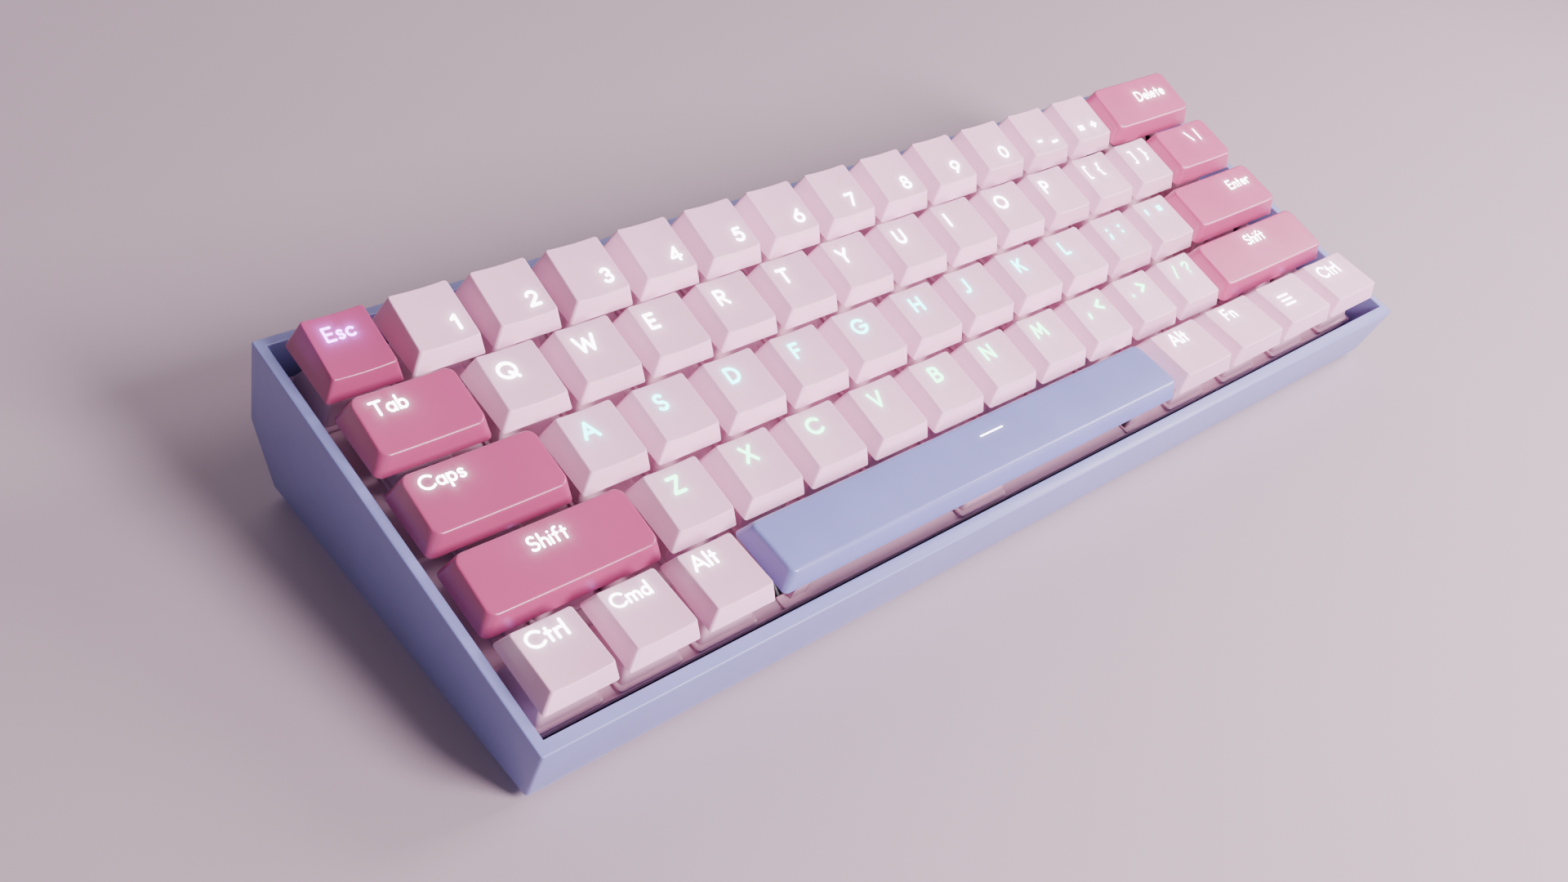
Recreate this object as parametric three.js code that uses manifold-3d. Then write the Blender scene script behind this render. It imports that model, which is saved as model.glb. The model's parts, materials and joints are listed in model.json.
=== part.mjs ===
// Compact 61-key mechanical keyboard: a wedge tray, a switch plate, a circuit
// board, a bank of key switches, wire stabilisers and sculpted keycaps.
//
// Millimetres, +Z up, +X to the typist's right, +Y away from the typist. The
// finished keyboard stands on z = 0 with its footprint centred on the origin.
//
// Most parts are laid out on a flat "deck", tipped up at the rear by the typing
// angle. On the deck, x runs along the rows from the left edge of the key field,
// y runs from the front edge of the bottom row to the rear, and z is height
// above a reference plane near the keycap skirts.

import * as THREE from 'three';
import Module from 'manifold-3d';

const wasm = await Module();
wasm.setup();
const { Manifold } = wasm;

// ---------------------------------------------------------------- dimensions
const PITCH = 19.05;            // key spacing, one unit
const FIELD_WIDTH = 15 * PITCH;
const FIELD_DEPTH = 5 * PITCH;
const TYPING_ANGLE = 11.2;      // degrees, deck against the desk
const ANGLE = THREE.MathUtils.degToRad(TYPING_ANGLE);
const TRAVEL = 4.0;             // full key stroke
const SEAT = 0.05;              // air left at faces that rest on each other
const CUT_OVER = 1;             // how far cutters run past the faces they open
const SIDES = [-1, 1];          // left, right

// stack-up, heights on the deck
const PLATE_TOP = -7.8;
const PLATE_BOTTOM = PLATE_TOP - 1.5;
const BOARD_TOP = PLATE_TOP - 5.0;
const BOARD_BOTTOM = BOARD_TOP - 1.6;
const UNDER_BOARD = BOARD_BOTTOM - SEAT;      // parts that touch the board from below
const PAD_TOP = PLATE_BOTTOM - 0.1;           // pad that joins the switches
const PAD_BOTTOM = PAD_TOP - 0.6;
const HOUSING_BOTTOM = BOARD_TOP + SEAT;
const HOUSING_TOP = PLATE_TOP + 6.4;
const WELL_BOTTOM = HOUSING_TOP - 6.3;        // well in the housing for the cap's stem
const STEM_BOTTOM = WELL_BOTTOM + TRAVEL + 0.3;

// screw positions on the deck: x, y
const SCREWS = [[25.2, 66.7], [259.5, 66.7], [130.5, 48.0], [190.2, 10.0]];

// centre of the cable port on the deck
const USB_X = 18.0;
const USB_Z = UNDER_BOARD - 1.65;

// ------------------------------------------------------------- solid helpers
const hull = (points) => Manifold.hull(points);
const union = (solids) => Manifold.union(solids);
const box = (x0, x1, y0, y1, z0, z1) =>
  Manifold.cube([x1 - x0, y1 - y0, z1 - z0]).translate([x0, y0, z0]);
// box centred on x, y
const block = (x, y, width, depth, z0, z1) =>
  box(x - width / 2, x + width / 2, y - depth / 2, y + depth / 2, z0, z1);
const post = (x, y, z0, z1, radius, segments) =>
  Manifold.cylinder(z1 - z0, radius, radius, segments).translate([x, y, z0]);
// corners of a level rectangle centred on x, y
const corners = (x, y, halfWidth, halfDepth, z) => [
  [x - halfWidth, y - halfDepth, z], [x + halfWidth, y - halfDepth, z],
  [x + halfWidth, y + halfDepth, z], [x - halfWidth, y + halfDepth, z],
];
// heights of a cutter that goes right through a sheet
const through = (bottom, top) => [bottom - CUT_OVER, top + CUT_OVER];
const screwHoles = (bottom, top, radius, segments) =>
  union(SCREWS.map(([x, y]) => post(x, y, ...through(bottom, top), radius, segments)));

// Closed solid between two rings of equal length. Each ring runs left to right
// along the front, then right to left along the rear.
function loft(bottom, top) {
  const count = bottom.length;
  const triangles = [];
  for (let i = 0; i < count; i++) {
    const next = (i + 1) % count;
    triangles.push(i, next, next + count, i, next + count, i + count);
  }
  for (let i = 1; i + 1 < count; i++) triangles.push(0, i + 1, i);
  // the top is capped as a strip between its front and rear edges
  for (let i = 0; i + 1 < count / 2; i++) {
    const front = count + i;
    const rear = 2 * count - 1 - i;
    triangles.push(front, front + 1, rear - 1, front, rear - 1, rear);
  }
  return new Manifold(new wasm.Mesh({
    numProp: 3,
    vertProperties: new Float32Array([...bottom, ...top].flat()),
    triVerts: new Uint32Array(triangles),
  }));
}

// ------------------------------------------------------------------- layout
const oneUnit = (names) => names.split(' ').map((name) => [name, 1]);
// Rows from the front to the rear.
// stagger: shift right of the usual quarter-unit steps, in units, taken up by
//   the first and last key
// skirt, front, rear: heights of the skirt's lower edge and of the cap's front
//   and rear top edges
// keys: name, width in units
const ROWS = [
  { stagger: 0, skirt: 1.2, front: 6.4, rear: 5.6,
    keys: [...oneUnit('ctrl_left super alt_left'), ['space', 7], ['alt_right', 1.25],
      ['fn', 1.25], ['menu', 1.25], ['ctrl_right', 1.25]] },
  { stagger: 0.05, skirt: -0.9, front: 4.0, rear: 5.1,
    keys: [['shift_left', 2.25], ...oneUnit('z x c v b n m comma period slash'),
      ['shift_right', 2.75]] },
  { stagger: 0.1, skirt: -0.3, front: 5.0, rear: 6.1,
    keys: [['caps', 1.75], ...oneUnit('a s d f g h j k l semicolon quote'), ['enter', 2.25]] },
  { stagger: -0.02, skirt: 1.4, front: 6.2, rear: 7.7,
    keys: [['tab', 1.5], ...oneUnit('q w e r t y u i o p bracket_left bracket_right'),
      ['backslash', 1.5]] },
  { stagger: 0, skirt: 2.6, front: 7.8, rear: 10.1,
    keys: [...oneUnit('esc 1 2 3 4 5 6 7 8 9 0 minus equal'), ['delete', 2]] },
];

// stabiliser insert offsets from the key centre
const STAB_NEAR = 11.94;
const STAB_FAR = 57.15;
const STAB_OFFSETS = {
  delete: STAB_NEAR, enter: STAB_NEAR, shift_left: STAB_NEAR, shift_right: STAB_NEAR,
  space: STAB_FAR,
};

const CAP_GAP = 2.0;            // between neighbouring skirts
const keys = ROWS.flatMap((row, rowIndex) => {
  let start = 0;
  return row.keys.map(([name, nominal], i) => {
    let units = nominal;
    if (i === 0) units += row.stagger;
    else if (i === row.keys.length - 1) units -= row.stagger;
    const x = (start + units / 2) * PITCH;
    start += units;
    return {
      name, row, x, y: (rowIndex + 0.5) * PITCH,
      halfWidth: (units * PITCH - CAP_GAP) / 2,
      stabOffset: STAB_OFFSETS[name],
    };
  });
});

// -------------------------------------------------------------- stabilisers
// Outlines about an insert centre: inner, outer (away from the key centre),
// front, rear
const STAB_OUTLINES = {
  capPost: [-1.8, 1.4, -2.9, 2.9],
  eye: [-0.4, 1.5, -2.4, 1.25],
  insert: [-3.3, 1.5, -6.5, 6.5],
  slot: [-2.1, 2.4, -3.2, 3.2],
  wireClearance: [1.55, 3.9, -9.0, 3.4],
  plateCutout: [-3.6, 3.9, -7.6, 6.9],
};
const CAP_POST_BOTTOM = -8.4;
const INSERT_TOP = -3.4;
const SLOT_BOTTOM = BOARD_TOP + 0.1;
const EYE_Z = -6.9;             // middle of the eye, at rest
const EYE_HALF_HEIGHT = 1.08;

// [side, x offset from the key centre] of each insert; empty without a stabiliser
const stabInserts = ({ stabOffset }) =>
  (stabOffset ? SIDES.map((side) => [side, side * stabOffset]) : []);
function stabBox(x, y, side, [inner, outer, front, rear], z0, z1) {
  const [left, right] = [x + side * inner, x + side * outer].sort((a, b) => a - b);
  return box(left, right, y + front, y + rear, z0, z1);
}

const WIRE_RADIUS = 0.8;
const WIRE_SEGMENTS = 8;
const WIRE_Y = -8.6;            // wire pivot from the key centre
const WIRE_Z = -11.3;
const WIRE_ARM = 8.6;
const WIRE_RISE = EYE_Z - WIRE_Z;
const WIRE_REACH = Math.sqrt(WIRE_ARM ** 2 - WIRE_RISE ** 2);
const ARM_OFFSET = 2.6;         // arm, outward of the insert centre
const ARM_OVERRUN = [0.2, 0.12];  // y, z past the arm's nominal end
const BEND_OVERRUN = 0.5;       // crosswise rods past the arms
const TIP_OFFSET = 0.2;         // wire tip, outward of the insert centre

// straight length of wire between two points
function rod(from, to) {
  const start = new THREE.Vector3(...from);
  const along = new THREE.Vector3(...to).sub(start);
  const turn = new THREE.Quaternion()
    .setFromUnitVectors(new THREE.Vector3(0, 0, 1), along.clone().normalize());
  const euler = new THREE.Euler().setFromQuaternion(turn, 'ZYX');
  const degrees = [euler.x, euler.y, euler.z].map((angle) => THREE.MathUtils.radToDeg(angle));
  return Manifold.cylinder(along.length(), WIRE_RADIUS, WIRE_RADIUS, WIRE_SEGMENTS)
    .rotate(degrees).translate(from);
}

function stabWire(key) {
  const armX = key.stabOffset + ARM_OFFSET;
  const bendX = armX + BEND_OVERRUN;
  const tipX = key.stabOffset + TIP_OFFSET;
  const [overY, overZ] = ARM_OVERRUN;
  const parts = [rod([-bendX, 0, 0], [bendX, 0, 0])];
  for (const side of SIDES) {
    const armEnd = [side * armX, WIRE_REACH + overY, WIRE_RISE + overZ];
    parts.push(rod([side * armX, 0, 0], armEnd));
    parts.push(rod([side * bendX, WIRE_REACH, WIRE_RISE], [side * tipX, WIRE_REACH, WIRE_RISE]));
  }
  return union(parts).translate([key.x, key.y + WIRE_Y, WIRE_Z]);
}

// ------------------------------------------------------------------ keycaps
const CAP_HALF_DEPTH = (PITCH - CAP_GAP) / 2;
const CAP_WALL = 1.25;
const CAP_ROOF = 0.75;          // thickness below the lowest point of the dish
const TOP_INSET = { side: 1.55, rearCorner: 0.2, front: 1.4, rear: 1.55 };
const CAVITY_INSET = { side: 1.7, end: 1.5 };   // cavity taper over the full cap height
const CAVITY_OVER = 0.5;        // cavity cutter below the skirt
const DISH = 0.4;               // depth of the finger dish
const DISH_STEPS = [-1, -0.5, 0, 0.5, 1];       // across the cap, in half widths
const STEM = 5.4;
const ROOF_OVERLAP = 0.3;       // stem and posts run this far into the roof

function capShell({ name, row, halfWidth }) {
  const flat = name === 'space';
  const steps = flat ? SIDES : DISH_STEPS;
  const frontHalf = halfWidth - TOP_INSET.side;
  const rearHalf = frontHalf - TOP_INSET.rearCorner;
  const frontY = -CAP_HALF_DEPTH + TOP_INSET.front;
  const rearY = CAP_HALF_DEPTH - TOP_INSET.rear;
  const dip = (step) => (flat ? 0 : DISH * (1 - step * step));
  const bottom = [];
  const top = [];
  for (const step of steps) {
    bottom.push([step * halfWidth, -CAP_HALF_DEPTH, row.skirt]);
    top.push([step * frontHalf, frontY, row.front - dip(step)]);
  }
  for (const step of [...steps].reverse()) {
    bottom.push([step * halfWidth, CAP_HALF_DEPTH, row.skirt]);
    top.push([step * rearHalf, rearY, row.rear - dip(step)]);
  }
  return loft(bottom, top);
}

function capCavity({ row, halfWidth }, ceiling) {
  const innerWidth = halfWidth - CAP_WALL;
  const innerDepth = CAP_HALF_DEPTH - CAP_WALL;
  const taper = (ceiling - row.skirt) / (Math.max(row.front, row.rear) - row.skirt);
  return hull([
    ...corners(0, 0, innerWidth, innerDepth, row.skirt - CAVITY_OVER),
    ...corners(0, 0, innerWidth - taper * CAVITY_INSET.side,
      innerDepth - taper * CAVITY_INSET.end, ceiling),
  ]);
}

function keycap(key) {
  const ceiling = Math.min(key.row.front, key.row.rear) - DISH - CAP_ROOF;
  const rootZ = ceiling + ROOF_OVERLAP;
  const parts = [
    capShell(key).subtract(capCavity(key, ceiling)),
    block(0, 0, STEM, STEM, STEM_BOTTOM, rootZ),
  ];
  for (const [side, x] of stabInserts(key)) {
    const eye = stabBox(x, 0, side, STAB_OUTLINES.eye,
      EYE_Z - EYE_HALF_HEIGHT, EYE_Z + EYE_HALF_HEIGHT);
    parts.push(stabBox(x, 0, side, STAB_OUTLINES.capPost, CAP_POST_BOTTOM, rootZ).subtract(eye));
  }
  return union(parts).translate([key.x, key.y, 0]);
}

// short bar across the gap, just above the skirts' lower edges, that joins two
// neighbouring caps into one body
const BRIDGE = { overlap: 0.8, halfDepth: 1.5, bottom: 0.3, top: 0.9 };
const bridge = (left, right) => box(
  left.x + left.halfWidth - BRIDGE.overlap, right.x - right.halfWidth + BRIDGE.overlap,
  left.y - BRIDGE.halfDepth, left.y + BRIDGE.halfDepth,
  left.row.skirt + BRIDGE.bottom, left.row.skirt + BRIDGE.top,
);

function keycapRow(members) {
  const bridges = members.slice(1).map((key, i) => bridge(members[i], key));
  return union([...members.map(keycap), ...bridges]);
}

// ------------------------------------------------ switches, plate and board
const BODY = 13.6;              // switch body below the plate, square
const BODY_OVERLAP = 0.2;       // body runs this far into the flange
const FLANGE = 15.6;
const FLANGE_THICK = 1.0;
const HOUSING_TOP_HALF = [5.3, 4.8];   // half width and half depth of the top face
const WELL = 6.2;
const PLATE_CUTOUT = 14;
const PAD_MARGIN = 0.6;
const PAD_HOLE_RADIUS = 2.6;
const PLATE_HOLE_RADIUS = 2.2;
const BOARD_HOLE_RADIUS = 1.3;
const PLATE_X = [0.35, FIELD_WIDTH - 2.0];
const PLATE_Y = [1.65, FIELD_DEPTH - 1.55];
const BOARD_X = [0.4, FIELD_WIDTH - 0.4];
const BOARD_Y = [0.35, FIELD_DEPTH - 0.35];

// flange and tapered upper housing
function housingUpper({ x, y }) {
  const bottom = PLATE_TOP + SEAT;
  return hull([
    ...corners(x, y, FLANGE / 2, FLANGE / 2, bottom),
    ...corners(x, y, FLANGE / 2, FLANGE / 2, bottom + FLANGE_THICK),
    ...corners(x, y, ...HOUSING_TOP_HALF, HOUSING_TOP),
  ]);
}

// all switch housings and stabiliser inserts, joined by the pad
function switchBank() {
  const parts = [];
  const wells = [];
  const wireCuts = [];
  for (const key of keys) {
    const { x, y } = key;
    parts.push(block(x, y, BODY, BODY, HOUSING_BOTTOM, PLATE_TOP + SEAT + BODY_OVERLAP));
    parts.push(housingUpper(key));
    wells.push(block(x, y, WELL, WELL, WELL_BOTTOM, HOUSING_TOP + CUT_OVER));
    for (const [side, offset] of stabInserts(key)) {
      const stab = (outline, z0, z1) => stabBox(x + offset, y, side, outline, z0, z1);
      parts.push(stab(STAB_OUTLINES.insert, HOUSING_BOTTOM, INSERT_TOP));
      wells.push(stab(STAB_OUTLINES.slot, SLOT_BOTTOM, INSERT_TOP + 0.4));
      wireCuts.push(stab(STAB_OUTLINES.wireClearance, ...through(PAD_BOTTOM, PAD_TOP)));
    }
  }
  const pad = box(PAD_MARGIN, FIELD_WIDTH - PAD_MARGIN, PAD_MARGIN, FIELD_DEPTH - PAD_MARGIN,
    PAD_BOTTOM, PAD_TOP)
    .subtract(union(wireCuts))
    .subtract(screwHoles(PAD_BOTTOM, PAD_TOP, PAD_HOLE_RADIUS, 10));
  return union([pad, ...parts]).subtract(union(wells));
}

function switchPlate() {
  const cutZ = through(PLATE_BOTTOM, PLATE_TOP);
  const cuts = keys.flatMap((key) => [
    block(key.x, key.y, PLATE_CUTOUT, PLATE_CUTOUT, ...cutZ),
    ...stabInserts(key).map(([side, offset]) =>
      stabBox(key.x + offset, key.y, side, STAB_OUTLINES.plateCutout, ...cutZ)),
  ]);
  cuts.push(screwHoles(PLATE_BOTTOM, PLATE_TOP, PLATE_HOLE_RADIUS, 10));
  return box(...PLATE_X, ...PLATE_Y, PLATE_BOTTOM, PLATE_TOP).subtract(union(cuts));
}

const circuitBoard = () => box(...BOARD_X, ...BOARD_Y, BOARD_BOTTOM, BOARD_TOP)
  .subtract(screwHoles(BOARD_BOTTOM, BOARD_TOP, BOARD_HOLE_RADIUS, 8));

// -------------------------------------------------------------- electronics
const USB_CHAMFER = 1.1;
const USB_MOUTH = FIELD_DEPTH + 1.0;   // y of the open end, which faces the rear

function usbPort() {
  const chamferedBar = (halfWidth, halfHeight, y0, y1) => {
    const points = [];
    for (const y of [y0, y1])
      for (const [x, z] of [[halfWidth, halfHeight - USB_CHAMFER],
        [halfWidth - USB_CHAMFER, halfHeight]])
        for (const sideX of SIDES)
          for (const sideZ of SIDES) points.push([USB_X + sideX * x, y, USB_Z + sideZ * z]);
    return hull(points);
  };
  const tongue = box(USB_X - 3.2, USB_X + 3.2, USB_MOUTH - 6.6, USB_MOUTH - 1.2,
    USB_Z - 0.35, USB_Z + 0.35);
  return chamferedBar(4.5, 1.62, USB_MOUTH - 8.2, USB_MOUTH)
    .subtract(chamferedBar(4.15, 1.28, USB_MOUTH - 6.4, USB_MOUTH + CUT_OVER))
    .add(tongue);
}

const CHIP = { x: 119.1, y: 66.7, size: 10, bottom: 1.4, top: 0.15 };
const CHIP_LEADS = { span: 12, width: 8.4, thick: 0.5 };

// square package with a flat band of leads along each pair of sides
function controllerChip() {
  const { x, y, size, bottom, top } = CHIP;
  const { span, width, thick } = CHIP_LEADS;
  return union([
    block(x, y, size, size, UNDER_BOARD - bottom, UNDER_BOARD - top),
    block(x, y, span, width, UNDER_BOARD - thick, UNDER_BOARD),
    block(x, y, width, span, UNDER_BOARD - thick, UNDER_BOARD),
  ]);
}

// --------------------------------------------------------------------- tray
const INNER_X = [-0.6, FIELD_WIDTH + 0.6];
const INNER_Y = [-2.0, 97.3];
const WALL = { side: 2.4, front: 3.1, rear: 2.2 };
const OUTER_X = [INNER_X[0] - WALL.side, INNER_X[1] + WALL.side];
const OUTER_Y = [INNER_Y[0] - WALL.front, INNER_Y[1] + WALL.rear];
const FRONT_HEIGHT = 16.4;      // rim to base at the front, square to the deck
const REAR_DROP = 23.5;         // upper part of the rear face
const REAR_RUN = 11.5;          // chamfer under the rear face, along y
const OUTER_LEAN = { front: 0.8, rear: 0.6 };   // end faces lean in towards the base
const INNER_LEAN = 0.3;
const INNER_REAR_SHIFT = 0.6;   // inner chamfer from the outer one, in y and in z
const DRAFT = 0.06;             // side walls lean in, per mm below the rim
const INNER_DRAFT = DRAFT * 0.6;
const FLOOR_RISE = 2.6 * 1.02;  // floor thickness, measured along deck z
const BOSS = { radius: 3.0, hole: 1.0, sink: 1.4 };
const LEDGE = { reach: 3.2, front: 36, rear: 41.5, rise: 1.6, intoWall: 0.8 };
const USB_SLOT_HALF = { width: 6.3, height: 3.4 };

// deck height of the tray's underside
const baseZ = (y) => -(FRONT_HEIGHT + (y - OUTER_Y[0]) * Math.tan(ANGLE));

// hull of a y, z side profile, narrowing downwards by the draft
const draftedPrism = (profile, [x0, x1], draft) => hull(profile.flatMap(([y, z]) => {
  const inset = draft * Math.max(0, -z);
  return [[x0 + inset, y, z], [x1 - inset, y, z]];
}));

function trayShell() {
  const chamferY = OUTER_Y[1] - REAR_RUN;
  const frontBaseY = OUTER_Y[0] + OUTER_LEAN.front;
  const outer = draftedPrism([
    [OUTER_Y[0], 0], [OUTER_Y[1], 0], [OUTER_Y[1] - OUTER_LEAN.rear, -REAR_DROP],
    [chamferY, baseZ(chamferY)], [frontBaseY, baseZ(frontBaseY)],
  ], OUTER_X, DRAFT);
  const floorPoint = (y) => [y, baseZ(y) + FLOOR_RISE];
  const inner = draftedPrism([
    [INNER_Y[0], CUT_OVER], [INNER_Y[1], CUT_OVER],
    [INNER_Y[1] - INNER_LEAN, -REAR_DROP + INNER_REAR_SHIFT],
    floorPoint(chamferY - INNER_REAR_SHIFT), floorPoint(INNER_Y[0] + INNER_LEAN),
  ], INNER_X, INNER_DRAFT);
  return outer.subtract(inner);
}

function tray() {
  const bosses = SCREWS.map(([x, y]) =>
    post(x, y, baseZ(y) + BOSS.sink, UNDER_BOARD, BOSS.radius, 12));
  // the front boss is short, so its hole is shallower
  const bossHoles = SCREWS.map(([x, y]) =>
    post(x, y, BOARD_BOTTOM - (y > 20 ? 5.2 : 2.7), BOARD_TOP, BOSS.hole, 8));
  const ledges = [
    [INNER_X[0] - LEDGE.intoWall, LEDGE.reach],
    [FIELD_WIDTH - LEDGE.reach, INNER_X[1] + LEDGE.intoWall],
  ].map((spanX) => box(...spanX, LEDGE.front, LEDGE.rear,
    baseZ(LEDGE.rear) + LEDGE.rise, UNDER_BOARD));
  // slot in the rear wall for the cable plug
  const { width, height } = USB_SLOT_HALF;
  const usbSlot = box(USB_X - width, USB_X + width, INNER_Y[1] - 3, OUTER_Y[1] + 2,
    USB_Z - height, USB_Z + height);
  return union([trayShell(), ...bosses, ...ledges]).subtract(union(bossHoles)).subtract(usbSlot);
}

// --------------------------------------------------------------------- feet
const FOOT_STAND = 1.6;         // how far the feet hold the tray off the desk
const FOOT_POCKET = 0.8;        // depth of the pocket at the tray's base
const FOOT_TOP = FOOT_STAND + FOOT_POCKET;
const FOOT = { width: 22, depth: 9, inset: 12, chamfer: 2.0 };
const POCKET_GAP = 0.3;
const FEET = [['front', 4], ['rear', 78]].flatMap(([end, y]) => [
  { name: `foot_${end}_left`, x: FOOT.inset, y },
  { name: `foot_${end}_right`, x: FIELD_WIDTH - FOOT.inset - FOOT.width, y },
]);

// upright block with chamfered corners, grown all round by the gap
function footBlock({ x, y }, z0, z1, gap) {
  const [left, right] = [x - gap, x + FOOT.width + gap];
  const [front, rear] = [y - gap, y + FOOT.depth + gap];
  const cut = FOOT.chamfer;
  return hull([z0, z1].flatMap((z) => [
    [left + cut, front, z], [right - cut, front, z],
    [left, front + cut, z], [right, front + cut, z],
    [left + cut, rear, z], [right - cut, rear, z],
    [left, rear - cut, z], [right, rear - cut, z],
  ]));
}

// height of the deck origin that puts the tray base on the feet
const DECK_Z = FOOT_STAND - (OUTER_Y[0] * Math.sin(ANGLE) - FRONT_HEIGHT * Math.cos(ANGLE));

// the tray in desk coordinates, with level pockets for the feet
function caseTray() {
  let solid = tray().rotate([TYPING_ANGLE, 0, 0]).translate([0, 0, DECK_Z]);
  for (const foot of FEET)
    solid = solid.subtract(footBlock(foot, -CUT_OVER, FOOT_TOP, POCKET_GAP));
  return solid;
}

// ---------------------------------------------------------------- materials
const paint = (settings) => new THREE.MeshStandardMaterial(settings);
const PAINT = {
  case: paint({ color: 0x8e95c4, roughness: 0.45 }),
  plate: paint({ color: 0xd9b9c2, roughness: 0.5, metalness: 0.2 }),
  board: paint({ color: 0x2b1f38, roughness: 0.5 }),
  housing: paint({ color: 0xd8c6d6, roughness: 0.35 }),
  steel: paint({ color: 0xb9bcc4, roughness: 0.25, metalness: 1 }),
  rubber: paint({ color: 0x3a3a42, roughness: 0.9 }),
  chip: paint({ color: 0x202024, roughness: 0.6 }),
  alpha: paint({ color: 0xe3ccd2, roughness: 0.4 }),
  accent: paint({ color: 0xd987ab, roughness: 0.3 }),
  esc: paint({ color: 0xc95f8d, roughness: 0.3 }),
  bar: paint({ color: 0xa3a9d4, roughness: 0.3 }),
};
const ACCENT_KEYS = 'tab caps shift_left shift_right enter backslash delete'.split(' ');
function capPaint(name) {
  if (name === 'esc') return PAINT.esc;
  if (name === 'space') return PAINT.bar;
  return ACCENT_KEYS.includes(name) ? PAINT.accent : PAINT.alpha;
}

// ----------------------------------------------------------------- assembly
const deck = new THREE.Group();
deck.rotation.x = ANGLE;
deck.position.z = DECK_Z;
const desk = new THREE.Group();

function place(group, name, solid, material) {
  const { vertProperties, triVerts } = solid.getMesh();
  const geometry = new THREE.BufferGeometry();
  geometry.setAttribute('position', new THREE.Float32BufferAttribute(vertProperties, 3));
  geometry.setIndex(new THREE.Uint32BufferAttribute(triVerts, 1));
  geometry.computeVertexNormals();
  const mesh = new THREE.Mesh(geometry, material);
  mesh.name = name;
  group.add(mesh);
}

place(desk, 'case_tray', caseTray(), PAINT.case);
for (const foot of FEET)
  place(desk, foot.name, footBlock(foot, 0, FOOT_TOP - SEAT, 0), PAINT.rubber);

place(deck, 'switch_plate', switchPlate(), PAINT.plate);
place(deck, 'circuit_board', circuitBoard(), PAINT.board);
place(deck, 'switch_housings', switchBank(), PAINT.housing);
place(deck, 'usb_port', usbPort(), PAINT.steel);
place(deck, 'controller_chip', controllerChip(), PAINT.chip);
for (const key of keys.filter(({ stabOffset }) => stabOffset))
  place(deck, `stabiliser_wire_${key.name}`, stabWire(key), PAINT.steel);

// runs of caps bridged into one body, left to right
const CAP_GROUPS = {
  keys_number_row: '1 2 3 4 5 6 7 8 9 0 minus equal'.split(' '),
  keys_bottom_left: ['ctrl_left', 'super', 'alt_left'],
  keys_bottom_right: ['alt_right', 'fn', 'menu', 'ctrl_right'],
};
for (const [name, members] of Object.entries(CAP_GROUPS))
  place(deck, name, keycapRow(keys.filter((key) => members.includes(key.name))), PAINT.alpha);

const grouped = Object.values(CAP_GROUPS).flat();
for (const key of keys.filter(({ name }) => !grouped.includes(name)))
  place(deck, `key_${key.name}`, keycap(key), capPaint(key.name));

// put the middle of the footprint over the origin
const root = new THREE.Group();
root.add(desk, deck);
root.updateMatrixWorld(true);
const middle = new THREE.Box3().setFromObject(root, true).getCenter(new THREE.Vector3());
for (const frame of [desk, deck]) {
  frame.position.x -= middle.x;
  frame.position.y -= middle.y;
}
root.updateMatrixWorld(true);

export default root;
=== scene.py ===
"""A compact five-row mechanical keyboard with lit legends, in a tilted tray.

x runs along the rows to the right, y towards the rear and z up, in metres. Keys, switches, plate
and board are laid out in deck millimetres: x along the rows, y towards the rear along the tilted
deck, z square to it. Row 0 is the space bar's row, at the front.
"""
import json
import math
from collections import namedtuple

import bmesh
import bpy
import numpy as np
from mathutils import Matrix, Vector


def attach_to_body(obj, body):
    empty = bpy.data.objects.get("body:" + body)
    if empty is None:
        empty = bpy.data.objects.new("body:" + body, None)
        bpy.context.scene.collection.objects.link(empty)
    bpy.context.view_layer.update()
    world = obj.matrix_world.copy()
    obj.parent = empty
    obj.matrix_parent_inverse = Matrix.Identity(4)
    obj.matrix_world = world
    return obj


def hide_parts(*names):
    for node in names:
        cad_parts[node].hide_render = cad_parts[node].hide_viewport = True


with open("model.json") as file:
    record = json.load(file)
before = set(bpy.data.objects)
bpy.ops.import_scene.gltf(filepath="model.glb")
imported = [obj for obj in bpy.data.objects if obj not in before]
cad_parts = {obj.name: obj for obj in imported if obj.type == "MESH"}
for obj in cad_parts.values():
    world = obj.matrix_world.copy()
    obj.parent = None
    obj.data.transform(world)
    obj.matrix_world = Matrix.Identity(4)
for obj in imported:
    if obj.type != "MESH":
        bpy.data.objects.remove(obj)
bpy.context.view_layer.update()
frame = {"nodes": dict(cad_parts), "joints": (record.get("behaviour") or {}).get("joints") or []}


# ------------------------------------------------------------ driving sizes
# Deck millimetres.
PITCH = 19.05
TRAVEL = 4.0
CAP_GAP = 2.0  # between the skirts of neighbouring caps
PLATE_TOP = -7.8
PLATE_THICK = 1.5
BOARD_TOP = PLATE_TOP - 5.0
BOARD_THICK = 1.6
BOARD_LOW = BOARD_TOP - BOARD_THICK - 0.05  # where the parts under the board start
HOUSING_TOP = PLATE_TOP + 6.4
FLANGE_LOW = PLATE_TOP + 0.05
WELL_DEPTH = 6.3  # of the well the plunger slides in
STEM_BOTTOM = HOUSING_TOP - WELL_DEPTH + TRAVEL + 0.3
EYE_Z = -6.9  # the stabiliser wire's tips
WIRE_Z = -11.3  # the stabiliser wire's long bar
WIRE_REACH = 8.6  # from the long bar to the wire's tips
INSERT_SHIFT = 0.2  # stabiliser inserts sit this much nearer the key's middle
USB_X = 18.0

# ----------------------------------------------------------------- the deck
JOINTS = {j["name"]: j for j in frame["joints"]}
press_axis = JOINTS["press_a"]["axis"]
TILT = math.atan2(-press_axis[1], press_axis[2])
COS, SIN = math.cos(TILT), math.sin(TILT)
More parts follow.
